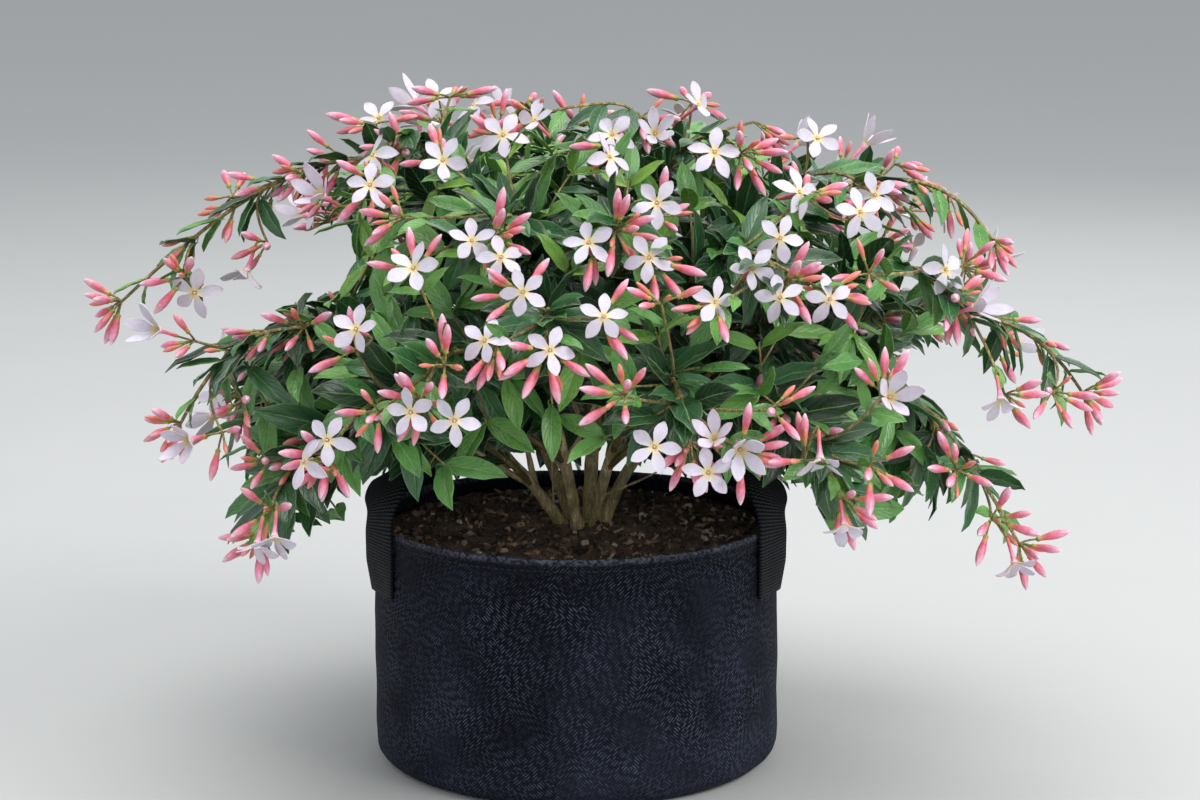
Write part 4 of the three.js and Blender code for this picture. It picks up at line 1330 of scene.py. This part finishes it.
def bud_skin(nodes, flower, is_tube):
    """Green at the foot, coral to pink along the body, pale at the point and on the petals' rolled edges."""
    along, stripe, tone = (nodes.attribute(name) for name in ("along", "stripe", "tone"))
    bud, young, blush = flower.bud_colour, flower.young_bud_colour, flower.blush_colour
    green = (0.30, 0.33, 0.06)
    if is_tube:
        body = nodes.ramp(along, (0.0, green), (0.14, young), (0.35, bud), (0.8, blush),
                          (1.0, (0.85, 0.60, 0.62)))
    else:
        ripe = nodes.ramp(along, (0.02, green), (0.13, (0.62, 0.26, 0.12)), (0.30, bud),
                          (0.60, (0.74, 0.22, 0.32)), (0.86, (0.78, 0.38, 0.50)), (1.0, (0.80, 0.62, 0.66)))
        unripe = nodes.ramp(along, (0.02, (0.22, 0.32, 0.06)), (0.25, (0.56, 0.24, 0.10)), (0.55, young),
                            (1.0, (0.72, 0.30, 0.24)))
        body = nodes.mix(nodes.range(tone, 0.12, 0.5), unripe, ripe)
    roll = nodes.times(nodes.range(stripe, 0.62, 1.0), nodes.range(along, 0.3, 0.9, 0.0, 0.5))
    shade = nodes.mix(nodes.times(roll, nodes.range(tone, 0.2, 1.0)), body, (0.88, 0.72, 0.76))
    soft = nodes.range(nodes.grain(260, 3), 0.35, 0.65)
    nodes.surface(nodes.brighten(shade, nodes.range(soft, 0, 1, 0.82, 1.12)), soft, 0.36, 0.5,
                  Subsurface_Weight=0.1, Subsurface_Radius=(0.004, 0.002, 0.002))
    nodes.bump(stripe, 0.0004, 0.5)


def flower_throat(nodes, flower):
    grain = nodes.grain(1400)
    shade = nodes.mix(nodes.range(grain, 0.35, 0.65), (0.60, 0.44, 0.14), flower.throat_colour)
    nodes.surface(shade, nodes.range(grain, 0.3, 0.7), 0.5, 0.8)
    nodes.bump(grain, 0.0003)


def pale_floor(nodes, stage):
    nodes.surface(*nodes.mottled(stage.floor_colour, 1.2, 9, 0.03), 0.75, 0.85)
    nodes.bump(nodes.grain(60, 3), 0.0006, 0.3)


def green_wood():
    return look("green_wood", ageing_wood, (0.200, 0.145, 0.060), settings("wood").green_colour, 0.10)


# Patterns that are modelled once and copied

def named(pattern, name, degrees):
    """Name a pattern, give it a tone to be set on its copies, and smooth it."""
    pattern.name = name
    mark(pattern, "tone")
    smooth(degrees)
    return pattern


def leaf_pattern(leaf, name, narrow, droop, sweep, ruffle):
    """A pointed oval leaf with a sunk midrib, drooping and swept a little to one side."""
    blade = shaped_strip(LEAF_ROWS, leaf.length, leaf.width * narrow, 4)
    enter_edit()
    half = leaf.width * narrow / 2
    for low, high, lift in ((-0.002, 0.002, -0.0026), (0.38 * half, 0.62 * half, -0.0006)):
        pick(lambda point, low=low, high=high: low <= abs(point.co.x) <= high)
        shift(z=lift)
    bend_rows(LEAF_ROWS, leaf.length, lambda row, share: (
        sweep * share ** 2, 0, ruffle * (-1) ** row - droop * max(0, share) ** 1.8))
    leave_edit()
    thicken(blade, leaf.thickness, look("leaf_upper_side", glossy_leaf, leaf),
            look("leaf_underside", leaf_underside, leaf))
    return named(blade, name, 45)


def leaf_patterns(leaf):
    shapes = (("broad_leaf", 1.0, 0.007, 0.001, 0.0004), ("drooping_leaf", 0.92, 0.013, -0.002, 0.0006),
              ("swept_leaf", 0.95, 0.009, 0.005, 0.0003), ("narrow_leaf", 0.8, 0.005, -0.003, 0.0005),
              ("hooked_leaf", 0.88, 0.018, 0.003, 0.0007))
    return [leaf_pattern(leaf, *shape) for shape in shapes]


def stripes(spot, twist=0.0):
    """Five stripes round the Z axis."""
    return 0.5 + 0.5 * math.cos(5 * math.atan2(spot.y, spot.x) + twist * spot.z)


def bud_pattern(flower):
    """A spindle bud of ten sides on its small green cup, its foot at the origin."""
    body, wide = flower.bud_length, flower.bud_radius
    rings = [(wide * across, body * share) for share, across in BUD_ROWS]
    bud = spindle(10, [(wide * 0.3, -0.001), (wide * 0.56, 0.0), (wide * 0.66, body * 0.04), *rings], body)
    mark(bud, "along", lambda spot: max(0, spot.z / body))
    mark(bud, "stripe", lambda spot: stripes(spot, 260))
    paint(bud, look("bud_skin", bud_skin, flower, False))
    select(bud)
    return named(bud, "bud", 60)


def petal(flower, lift, curl):
    """One petal along Y from the throat, raised by `lift` and curling back by `curl` at its tip."""
    reach = flower.radius - 0.002
    blade = shaped_strip(PETAL_ROWS, reach, flower.petal_width, 2)
    enter_edit()
    pick(lambda point: abs(point.co.x) < 1e-5)
    shift(z=-0.0007)
    bend_rows(PETAL_ROWS, reach, lambda row, share: (
        0, 0.0016 - 0.25 * abs(lift * share * reach), lift * share * reach - curl * share ** 2.2))
    leave_edit()
    thicken(blade, 0.00045, look("petal_face", petal_skin, flower, True),
            look("petal_back", petal_skin, flower, False))
    return blade


def flower_pattern(flower, name, lift, curl, sway=0.0):
    """An open flower: five petals, held unevenly, on a slender tube that runs down from the origin."""
    blade = petal(flower, lift, curl)
    select(blade)
    enter_edit()
    bpy.ops.mesh.select_all(action="SELECT")
    for _ in range(4):
        bpy.ops.mesh.duplicate()
        bpy.ops.transform.rotate(value=TAU / 5, orient_axis="Z", center_override=(0, 0, 0))
    leave_edit()
    for point in blade.data.vertices:
        turn = math.atan2(point.co.y, point.co.x)
        flat = math.hypot(point.co.x, point.co.y)
        point.co.z += 0.22 * flat * math.sin(2 * turn + sway) + 0.10 * flat * math.sin(3 * turn + 2 * sway)
    foot = -flower.tube
    tube = spindle(8, [(0.0007, foot), (0.0014, foot + 0.0012), (0.0013, foot * 0.75), (0.0014, foot * 0.4),
                       (0.0019, -0.004), (0.0030, -0.0008), (0.0026, -0.0004), (0.0015, -0.0014)], -0.0022)
    mark(tube, "along", lambda spot: 1 + spot.z / flower.tube)
    mark(tube, "stripe", stripes)
    paint(tube, look("flower_tube", bud_skin, flower, True))
    eye = spindle(6, [(0.0006, -0.0024), (0.0009, -0.0010), (0.0008, 0.0006)], 0.0014)
    paint(eye, look("flower_throat", flower_throat, flower))
    return named(join_all([blade, tube, eye]), name, 50)


def flower_patterns(flower):
    shapes = {"open": (("open_flower", 0.06, 0.003), ("cupped_flower", 0.28, 0.002, 1.4),
                       ("flat_flower", -0.05, 0.004, 2.9), ("uneven_flower", 0.14, 0.005, 4.3)),
              "half": (("half_open_flower", 1.0, -0.002),),
              "bell": (("hanging_flower", 0.75, 0.006),)}
    return {kind: [flower_pattern(flower, *shape) for shape in some] for kind, some in shapes.items()}


def chip_pattern(name, reach, width, thick):
    """A flake of bark with a broken outline."""
    begin()
    bpy.ops.mesh.primitive_cube_add(size=1)
    resize(reach, width, thick)
    bpy.ops.object.transform_apply(location=False, rotation=False, scale=True)
    enter_edit("FACE")
    pick(lambda face: abs(face.normal.x) > 0.9, "FACE")
    resize(1, 0.45, 0.6)
    pick(lambda face: face.normal.z > 0.9, "FACE")
    bpy.ops.mesh.inset(thickness=width * 0.14, depth=thick * 0.3)
    leave_edit()
    chip = bpy.context.object
    paint(chip, look("bark_chips", flaky_bark))
    return named(chip, name, 30)


def stitch_pattern():
    """One stitch of thread: a short rounded cord that dips into the cloth at both ends."""
    stitch = spindle(6, [(0.00018, -0.0016), (0.00034, -0.0011), (0.00036, 0.0), (0.00034, 0.0011)], 0.0016)
    stitch.name = "stitch"
    smooth(60)
    paint(stitch, look("sewing_thread", sewing_thread, settings("handle")))
    return stitch


def sew(spots, name, slot):
    """Set a stitch at each (place, direction), and join them as one piece of thread."""
    stitch = stitch_pattern()
    finish_piece(join_all([copy_of(stitch, frame_upright(way, 0, spot)) for spot, way in spots]), name, slot)
    remove(stitch)


# Operators: the stage

class JASMINE_OT_stage(bpy.types.Operator):
    """Lay the pale floor, hang the soft lights and set up the camera"""

    bl_idname = "jasmine.stage"
    bl_label = "Stage"

    # Each light's place, size and power, and what they all aim at
    LIGHTS = {
        "key_light": ((2.3, -1.6, 2.2), 2.0, 84),
        "fill_light": ((-1.9, -1.6, 2.5), 2.4, 11),
        "front_light": ((0.6, -3.2, 1.0), 1.6, 8),
        "top_light": ((-0.3, 0.1, 2.9), 2.2, 48),
        "rear_light": ((0.7, 2.4, 1.9), 1.8, 18),
    }
    AIM = Vector((0, 0, 0.28))
    SKY, SKY_STRENGTH = (0.90, 0.95, 1.0), 0.68
    CAMERA_AT, CAMERA_TILT = (0.0177, -2.349, 0.732), math.radians(78.9)

    def execute(self, context):
        stage = settings("stage")
        begin()
        bpy.ops.mesh.primitive_plane_add(size=60, location=(0, 0, -0.0004))
        bpy.ops.object.transform_apply(location=True, rotation=False, scale=False)
        floor = context.object
        floor.name = "studio_floor"
        paint(floor, look("pale_floor", pale_floor, stage))
        for name, (place, size, power) in self.LIGHTS.items():
            bpy.ops.object.light_add(type="AREA", location=place)
            light = context.object
            light.name = name
            light.data.size = size
            light.data.energy = power * stage.light
            light.rotation_euler = (self.AIM - Vector(place)).to_track_quat("-Z", "Y").to_euler()
        world = context.scene.world or bpy.data.worlds.new("studio")
        context.scene.world = world
        world.use_nodes = True
        world.node_tree.nodes.clear()
        nodes = Nodes(world.node_tree)
        sky = nodes.add("Background", {"Color": self.SKY, "Strength": self.SKY_STRENGTH * stage.light})
        nodes.add("OutputWorld", {"Surface": sky.outputs[0]})
        bpy.ops.object.camera_add(location=self.CAMERA_AT, rotation=(self.CAMERA_TILT, 0, 0))
        camera = context.object
        camera.data.lens = stage.lens
        camera.data.sensor_width = 36
        camera.data.sensor_fit = "HORIZONTAL"
        camera.data.clip_end = 100
        context.scene.camera = camera
        context.scene.view_settings.view_transform = "Standard"
        return {"FINISHED"}


# Operators: the bag

class JASMINE_OT_bag_wall(bpy.types.Operator):
    """Raise the soft fabric wall of the bag, with its turned corner and lapped seam"""

    bl_idname = "jasmine.bag_wall"
    bl_label = "Bag Wall"

    SIDES, CORNER_ROWS, WALL_ROWS = 144, 5, 18
    SEAM_AT, LAP = -0.016, 0.0008
    STIFF_FOOT = 0.004

    def lap_seam(self, bag):
        """Cut two lines up the front of the wall and lift the cloth between them, where its ends lap."""
        enter_edit("FACE")
        for side, step in product((-1, 1), (0.0, self.LAP)):
            pick(lambda face: face.calc_center_median().y < -0.1, "FACE")
            bpy.ops.mesh.bisect(plane_co=(self.SEAM_AT + side * (bag.seam / 2 + step), 0, 0),
                                plane_no=(1, 0, 0))
        half = bag.seam / 2 + 1e-4
        pick(lambda point: abs(point.co.x - self.SEAM_AT) < half and point.co.y < 0
             and point.co.z > bag.corner)
        shift(y=-self.LAP)
        leave_edit()

    def pucker(self, wall):
        """Swell the cloth between soft dents, low down where it turns under."""
        for point in wall.data.vertices:
            turn = math.atan2(point.co.x, -point.co.y)
            low = max(0, 1 - abs(point.co.z - 0.020) / 0.030)
            dent = max(0, math.sin(13 * turn + 2.1 * math.sin(3 * turn))) ** 4
            grow = 1 + 0.0016 * low * (1 - dent) / BAG_RADIUS
            point.co.x *= grow
            point.co.y *= grow

    def softness(self, spot):
        share = clamp((spot.z - self.STIFF_FOOT) / (WALL_TOP - self.STIFF_FOOT))
        return math.sin(math.pi * share) ** 0.6

    def execute(self, context):
        bag = settings("bag")
        foot = bag.radius - bag.corner
        turns = [math.pi / 2 * i / self.CORNER_ROWS for i in range(self.CORNER_ROWS + 1)]
        corner = [(foot + bag.corner * math.sin(t), bag.corner * (1 - math.cos(t))) for t in turns]
        rings = [(bag.radius, bag.corner + (WALL_TOP - bag.corner) * i / self.WALL_ROWS)
                 for i in range(1, self.WALL_ROWS + 1)]
        wall = turned(self.SIDES, corner + rings, filled=False)
        bpy.ops.mesh.select_all(action="SELECT")
        bpy.ops.mesh.normals_make_consistent(inside=False)
        leave_edit()
        weigh(wall, "soft", self.softness)
        roughen("broad_bulges", 0.075, bag.sag * 1.6, 0.0, "soft")
        roughen("small_dents", 0.022, bag.sag * 0.35, 0.0, "soft")
        self.pucker(wall)
        self.lap_seam(bag)
        modify("SOLIDIFY", thickness=bag.cloth, offset=-1)
        smooth(50)
        paint(wall, look("bag_cloth", dusty_cloth, bag, round_the_bag))
        finish_piece(wall, "grow_bag_wall", "bag_fabric", "bag_wall")
        return {"FINISHED"}


class JASMINE_OT_bag_base(bpy.types.Operator):
    """Cut the round base of the bag and press in the line where it is sewn"""

    bl_idname = "jasmine.bag_base"
    bl_label = "Bag Base"

    SIDES = 144
    RINGS, RING = 6, 0.018
    SEAM_IN, SEAM_WIDE, SEAM_DEEP = 0.006, 0.001, 0.0005

    def execute(self, context):
        bag = settings("bag")
        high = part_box("bag_base")[1]
        base = turned(self.SIDES, [(high.x, 0), (high.x, high.z)])
        pick(lambda face: len(face.verts) > 4, "FACE")
        bpy.ops.mesh.inset(thickness=self.SEAM_IN)
        for deep in (-self.SEAM_DEEP, self.SEAM_DEEP):
            bpy.ops.mesh.inset(thickness=self.SEAM_WIDE, depth=deep)
        for _ in range(self.RINGS):
            bpy.ops.mesh.inset(thickness=self.RING)
        leave_edit()
        close_up()
        modify("BEVEL", width=0.0008, segments=2, limit_method="ANGLE")
        smooth(40)
        paint(base, look("base_cloth", dusty_cloth, bag, across_the_base))
        finish_piece(base, "grow_bag_base", "bag_fabric", "bag_base")
        return {"FINISHED"}


class JASMINE_OT_rim_hem(bpy.types.Operator):
    """Fold the hem round the mouth and sew it"""

    bl_idname = "jasmine.rim_hem"
    bl_label = "Rim Hem"

    SIDES = 240
    STITCH_PITCH, STITCHES_UP = 0.0048, 0.0035

    def execute(self, context):
        bag = settings("bag")
        low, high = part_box("rim_hem")
        outside, inside = bag.radius + 0.0002, bag.radius - bag.cloth
        foot, top = WALL_TOP - 0.0002, high.z
        fold = [(outside, foot), (outside, foot + 0.0002), (outside + 0.0002, foot + 0.003),
                (outside + 0.0004, top - 0.005), (outside + 0.0006, top - 0.0025),
                (outside + 0.0002, top - 0.0008), (outside - 0.0010, top),
                (inside + 0.0004, top - 0.0002), (inside - 0.0006, top - 0.002),
                (inside - 0.0006, top - 0.006), (inside - 0.0002, foot + 0.002), (inside, foot),
                (outside, foot)]
        hem = turned(self.SIDES, fold, filled=False)
        leave_edit()
        close_up()
        weigh(hem, "upper_edge", lambda spot: clamp((spot.z - low.z - 0.002) / 0.008))
        roughen("hem_waves", 0.045, 0.0016, 0.5, "upper_edge")
        smooth(60)
        paint(hem, look("hem_cloth", worn_hem, bag))
        finish_piece(hem, "folded_rim_hem", "bag_fabric", "rim_hem")
        reach, height = outside + FIT, low.z + self.STITCHES_UP
        count = round(TAU * outside / self.STITCH_PITCH)
        turns = [TAU * i / count for i in range(count)]
        sew([(Vector((reach * math.sin(turn), -reach * math.cos(turn), height)),
              Vector((math.cos(turn), math.sin(turn), 0))) for turn in turns], "hem_stitching", "bag_fabric")
        return {"FINISHED"}


# Operators: the handles

class JASMINE_OT_handles(bpy.types.Operator):
    """Bend the two webbing loops, and sew their legs to the wall"""

    bl_idname = "jasmine.handles"
    bl_label = "Handles"

    ROWS, COLUMNS = 90, 6
    LAY = 1.7
    TWIST = math.radians(11)
    SEWN_FROM, SEWN_TO = 0.004, 0.034
    STITCH_PITCH = 0.0042

    def frames(self, handle, hand):
        """For each row of the band: its middle, the way ahead, its face and its width."""
        spots = handle_path(handle, hand, self.ROWS + 1)
        made = []
        for i, spot in enumerate(spots):
            ahead = (spots[min(i + 1, self.ROWS)] - spots[max(i - 1, 0)]).normalized()
            share = clamp((spot.z - RIM_TOP) / (0.8 * handle.rise))
            above = share * share * (3 - 2 * share)
            side = -hand if i < self.ROWS / 2 else hand
            twist = self.TWIST * (1 - above) * min(1, 0.4 + (spot.z - handle.foot) / 0.04)
            out = Vector((spot.x, spot.y, 0)).normalized()
            face = Matrix.Rotation(side * twist, 3, "Z") @ out + UP * self.LAY * above
            face = (face - ahead * face.dot(ahead)).normalized()
            spot = spot + out * handle.width / 2 * math.sin(twist)
            made.append((spot, ahead, face, face.cross(ahead)))
        return made

    def band(self, handle, frames):
        begin()
        bpy.ops.mesh.primitive_grid_add(x_subdivisions=self.COLUMNS, y_subdivisions=self.ROWS, size=1)
        strip = bpy.context.object
        for point in strip.data.vertices:
            spot, _, face, wide = frames[round((point.co.y + 0.5) * self.ROWS)]
            across = point.co.x
            crown = 0.0003 * (1 - 4 * across * across)
            point.co = spot + wide * across * (handle.width - 0.0005) + face * crown
        strip.data.update()
        modify("SOLIDIFY", thickness=handle.thickness - 0.0002, offset=0)
        close_up()
        modify("BEVEL", width=0.0009, segments=3, limit_method="ANGLE", angle_limit=math.radians(50))
        smooth(40)
        return strip

    def stitches(self, handle, frames):
        """A sewn box with a cross in it on each of the two legs."""
        lift = handle.thickness / 2 + 0.0001
        half = handle.width / 2 - 0.004
        low, high = self.SEWN_FROM, self.SEWN_TO
        for foot, up in ((frames[0], 1), (frames[-1], -1)):
            spot, ahead, face, wide = foot
            corners = [spot + wide * half * a + ahead * up * b + face * lift
                       for a, b in ((-1, low), (1, low), (1, high), (-1, high))]
            for a, b in ((0, 1), (1, 2), (2, 3), (3, 0), (0, 2), (1, 3)):
                line = corners[b] - corners[a]
                count = max(2, round(line.length / self.STITCH_PITCH))
                for i in range(count):
                    yield corners[a].lerp(corners[b], (i + 0.5) / count), line.normalized()

    def execute(self, context):
        handle = settings("handle")
        for hand, side in ((-1, "left"), (1, "right")):
            frames = self.frames(handle, hand)
            strip = self.band(handle, frames)
            paint(strip, look("ribbed_webbing", ribbed_webbing, handle))
            finish_piece(strip, "webbing_loop_" + side, "webbing", "handle_" + side)
            sew(self.stitches(handle, frames), "handle_stitching_" + side, "webbing")
        return {"FINISHED"}


# Operators: the potting mix

class JASMINE_OT_potting_mix(bpy.types.Operator):
    """Fill the bag with mounded potting mix and scatter bark chips on it"""

    bl_idname = "jasmine.potting_mix"
    bl_label = "Potting Mix"

    SIDES, RINGS = 96, 20
    CORNER, CORNER_HIGH = 0.0133, 0.014
    CROWN_ROOM = 0.024

    def looseness(self, soil, spot):
        """How far the mix may heave: not at its sides, little at the wall and fully further in."""
        inwards = (1 - math.hypot(spot.x, spot.y) / SOIL_EDGE) * 12
        return max(0.25, min(1, inwards)) if spot.z > soil.edge - 0.001 else 0

    def execute(self, context):
        soil = settings("soil")
        low = BAG_RADIUS - self.CORNER
        mix = turned(self.SIDES, [(low, SOIL_FLOOR), (SOIL_EDGE, SOIL_FLOOR + self.CORNER_HIGH),
                                  (SOIL_EDGE, 0.09), (SOIL_EDGE, soil.edge)])
        rises = [(soil.middle - soil.edge) * math.cos((1 - i / self.RINGS) * math.pi / 2)
                 for i in range(self.RINGS)]
        for last, rise in zip(rises, rises[1:]):
            bpy.ops.mesh.inset(thickness=SOIL_EDGE / self.RINGS * 0.999)
            shift(z=rise - last)
        bpy.ops.mesh.poke()
        leave_edit()
        close_up()
        weigh(mix, "top", lambda spot: self.looseness(soil, spot))
        enter_edit("FACE")
        pick(lambda face: face.calc_center_median().z > soil.edge - 0.0005, "FACE")
        bpy.ops.mesh.subdivide(number_cuts=1)
        leave_edit()
        roughen("mix_hollows", 0.03, 0.011, 0.5, "top", 3)
        roughen("mix_lumps", 0.007, 0.0060, 0.45, "top", 4)
        smooth(60)
        paint(mix, look("damp_potting_mix", damp_mix, soil))
        finish_piece(mix, "bark_potting_mix", "potting_mix", "potting_soil")
        self.scatter(context, soil, mix)
        return {"FINISHED"}

    def scatter(self, context, soil, mix):
        """Drop chips and crumbs on the mix, clear of the crown."""
        rand = random.Random(5)
        flakes = [chip_pattern("long_chip", 0.014, 0.005, 0.0022),
                  chip_pattern("broad_chip", 0.010, 0.007, 0.002),
                  chip_pattern("splinter", 0.012, 0.0024, 0.0016)]
        crumb = chip_pattern("crumb", 0.0042, 0.0036, 0.003)
        context.view_layer.update()
        for patterns, count, name, low, high in ((flakes, soil.chips, "bark_chips_on_mix", 0.4, 1.1),
                                                 ([crumb], soil.crumbs, "crumbs_on_mix", 0.5, 1.5)):
            made = []
            for _ in range(count):
                reach = (SOIL_EDGE - 0.007) * math.sqrt(rand.random())
                turn = rand.random() * TAU
                x, y = reach * math.cos(turn), reach * math.sin(turn)
                if math.hypot(x - STEMS_AT, y) < self.CROWN_ROOM:
                    continue
                hit, spot, normal, _ = mix.ray_cast(Vector((x, y, 0.3)), -UP)
                if not hit:
                    continue
                lean = normal + Vector((rand.uniform(-1, 1), rand.uniform(-1, 1), rand.uniform(0, 0.5))) * 0.7
                size = rand.uniform(low, high)
                place = frame_upright(lean.normalized(), rand.random() * TAU, spot + normal * 0.0006,
                                      (size, size * rand.uniform(0.7, 1.2), size))
                tone = rand.betavariate(1.1, 1.15)
                made.append(copy_of(rand.choice(patterns), place, tone))
            finish_piece(join_all(made), name, "potting_mix")
        remove(*flakes, crumb)


# Operators: the wood

class JASMINE_OT_main_stems(bpy.types.Operator):
    """Grow the woody crown and the main stems"""

    bl_idname = "jasmine.main_stems"
    bl_label = "Crown and Stems"

    FLARE_TOP, FLARE_HIGH, FLARE = 0.186, 0.02, 0.0012

    def execute(self, context):
        wood = settings("wood")
        bark = look("old_bark", ageing_wood, wood.bark_colour, (0.470, 0.410, 0.170), 0.07)
        self.crown(bark)
        for name, (*_, thick) in STEMS.items():
            side = [(branch, foot, foot * 0.5, 16) for branch, foot in branch_points(name)]
            stem = stalk_curve([(stem_points(name), thick * 1.12 * MM, thick * 0.80 * MM, 26), *side], 5)
            weigh(stem, "flare", lambda spot: clamp((self.FLARE_TOP - spot.z) / self.FLARE_HIGH))
            modify("DISPLACE", strength=self.FLARE, mid_level=0.0, vertex_group="flare")
            roughen("stem_knobs", 0.012, 0.0018, 0.5, "", 3)
            smooth(60)
            paint(stem, bark)
            finish_piece(stem, "woody_stem_" + name, "bark", "main_stem_" + name)
        return {"FINISHED"}

    def crown(self, bark):
        middle = (CROWN_LOW + CROWN_HIGH) / 2
        half = (CROWN_HIGH - CROWN_LOW) / 2
        begin()
        bpy.ops.mesh.primitive_uv_sphere_add(segments=40, ring_count=28, radius=half.x, location=middle)
        resize(1, 1, half.z / half.x, tuple(middle))
        bpy.ops.object.transform_apply(location=True, rotation=True, scale=True)
        roughen("crown_burls", 0.014, 0.005, 0.6, "", 3)
        smooth(60)
        crown = bpy.context.object
        paint(crown, bark)
        finish_piece(crown, "woody_crown", "bark", "root_crown")


# Operators: shoots, leaves and flowers

class JASMINE_OT_shoot_wood(bpy.types.Operator):
    """Grow the long arching shoots with their twigs and stalks"""

    bl_idname = "jasmine.shoot_wood"
    bl_label = "Shoots"

    def execute(self, context):
        for name in SHOOTS:
            piece = stalk_curve(plan().grown[name].stalks)
            paint(piece, green_wood())
            finish_piece(piece, "green_shoot_" + name, "bark", "shoot_" + name)
        return {"FINISHED"}


class JASMINE_OT_leaves(bpy.types.Operator):
    """Set the opposite pairs of leaves on the shoots and twigs"""

    bl_idname = "jasmine.leaves"
    bl_label = "Leaves"

    def execute(self, context):
        patterns = leaf_patterns(settings("leaf"))
        for name in SHOOTS:
            made = [copy_of(patterns[kind], place, tone) for place, tone, kind in plan().grown[name].leaves]
            finish_piece(join_all(made), "leaves_" + name, "foliage")
        remove(*patterns)
        return {"FINISHED"}


class JASMINE_OT_blossoms(bpy.types.Operator):
    """Set the buds and open flowers on the shoots, and the flower heads on their tips"""

    bl_idname = "jasmine.blossoms"
    bl_label = "Buds and Flowers"

    def copies(self, grown, bud, flowers):
        """Copies of the buds and flowers that one shoot or head bears."""
        for root, direction, size, turn, tone in grown.buds:
            yield copy_of(bud, frame_upright(direction, turn, root, (size, size, size)), tone)
        for face, facing, kind, turn, tone in grown.flowers:
            patterns = flowers[kind]
            pattern = patterns[int(tone * len(patterns)) % len(patterns)]
            size = 0.90 + 0.16 * (tone * 7 % 1)
            yield copy_of(pattern, frame_upright(facing, turn, face, (size, size, size)),
                          tone * (0.75 if kind == "open" else 1.0))

    def execute(self, context):
        flower = settings("flower")
        bud, flowers = bud_pattern(flower), flower_patterns(flower)
        for owner, grown in plan().grown.items():
            made = list(self.copies(grown, bud, flowers))
            if owner not in SHOOTS:
                stalks = stalk_curve(grown.stalks)
                paint(stalks, green_wood())
                finish_piece(join_all([*made, stalks]), "blossom_" + owner, "blossom", "flower_" + owner)
            elif made:
                finish_piece(join_all(made), "side_blossoms_" + owner, "blossom")
        remove(bud, *(pattern for kind in flowers.values() for pattern in kind))
        return {"FINISHED"}


# The panel, and the run

SETTINGS = {
    "bag": (BagSettings, "Bag"),
    "handle": (HandleSettings, "Handles"),
    "soil": (SoilSettings, "Potting Mix"),
    "wood": (WoodSettings, "Wood"),
    "leaf": (LeafSettings, "Leaves"),
    "flower": (FlowerSettings, "Flowers"),
    "stage": (StageSettings, "Stage"),
}

OPERATORS = (
    JASMINE_OT_stage,
    JASMINE_OT_bag_wall,
    JASMINE_OT_bag_base,
    JASMINE_OT_rim_hem,
    JASMINE_OT_handles,
    JASMINE_OT_potting_mix,
    JASMINE_OT_main_stems,
    JASMINE_OT_shoot_wood,
    JASMINE_OT_leaves,
    JASMINE_OT_blossoms,
)


class JASMINE_PT_panel(bpy.types.Panel):
    """Lists the steps and their settings"""

    bl_idname = "JASMINE_PT_panel"
    bl_label = "Potted Jasmine"
    bl_space_type = "VIEW_3D"
    bl_region_type = "UI"
    bl_category = "Jasmine"

    def draw(self, context):
        for kind, (group, label) in SETTINGS.items():
            box = self.layout.box()
            box.label(text=label)
            for name in group.__annotations__:
                box.prop(settings(kind), name)
        column = self.layout.column(align=True)
        for operator in OPERATORS:
            column.operator(operator.bl_idname)


def register():
    for kind, (group, _) in SETTINGS.items():
        bpy.utils.register_class(group)
        setattr(bpy.types.Scene, "jasmine_" + kind, PointerProperty(type=group))
    for cls in (*OPERATORS, JASMINE_PT_panel):
        bpy.utils.register_class(cls)


def unregister():
    for cls in reversed((*OPERATORS, JASMINE_PT_panel)):
        bpy.utils.unregister_class(cls)
    for kind, (group, _) in reversed(SETTINGS.items()):
        delattr(bpy.types.Scene, "jasmine_" + kind)
        bpy.utils.unregister_class(group)


def main():
    register()
    for operator in OPERATORS:
        group, name = operator.bl_idname.split(".")
        getattr(getattr(bpy.ops, group), name)()
    begin()


if __name__ == "__main__":
    main()
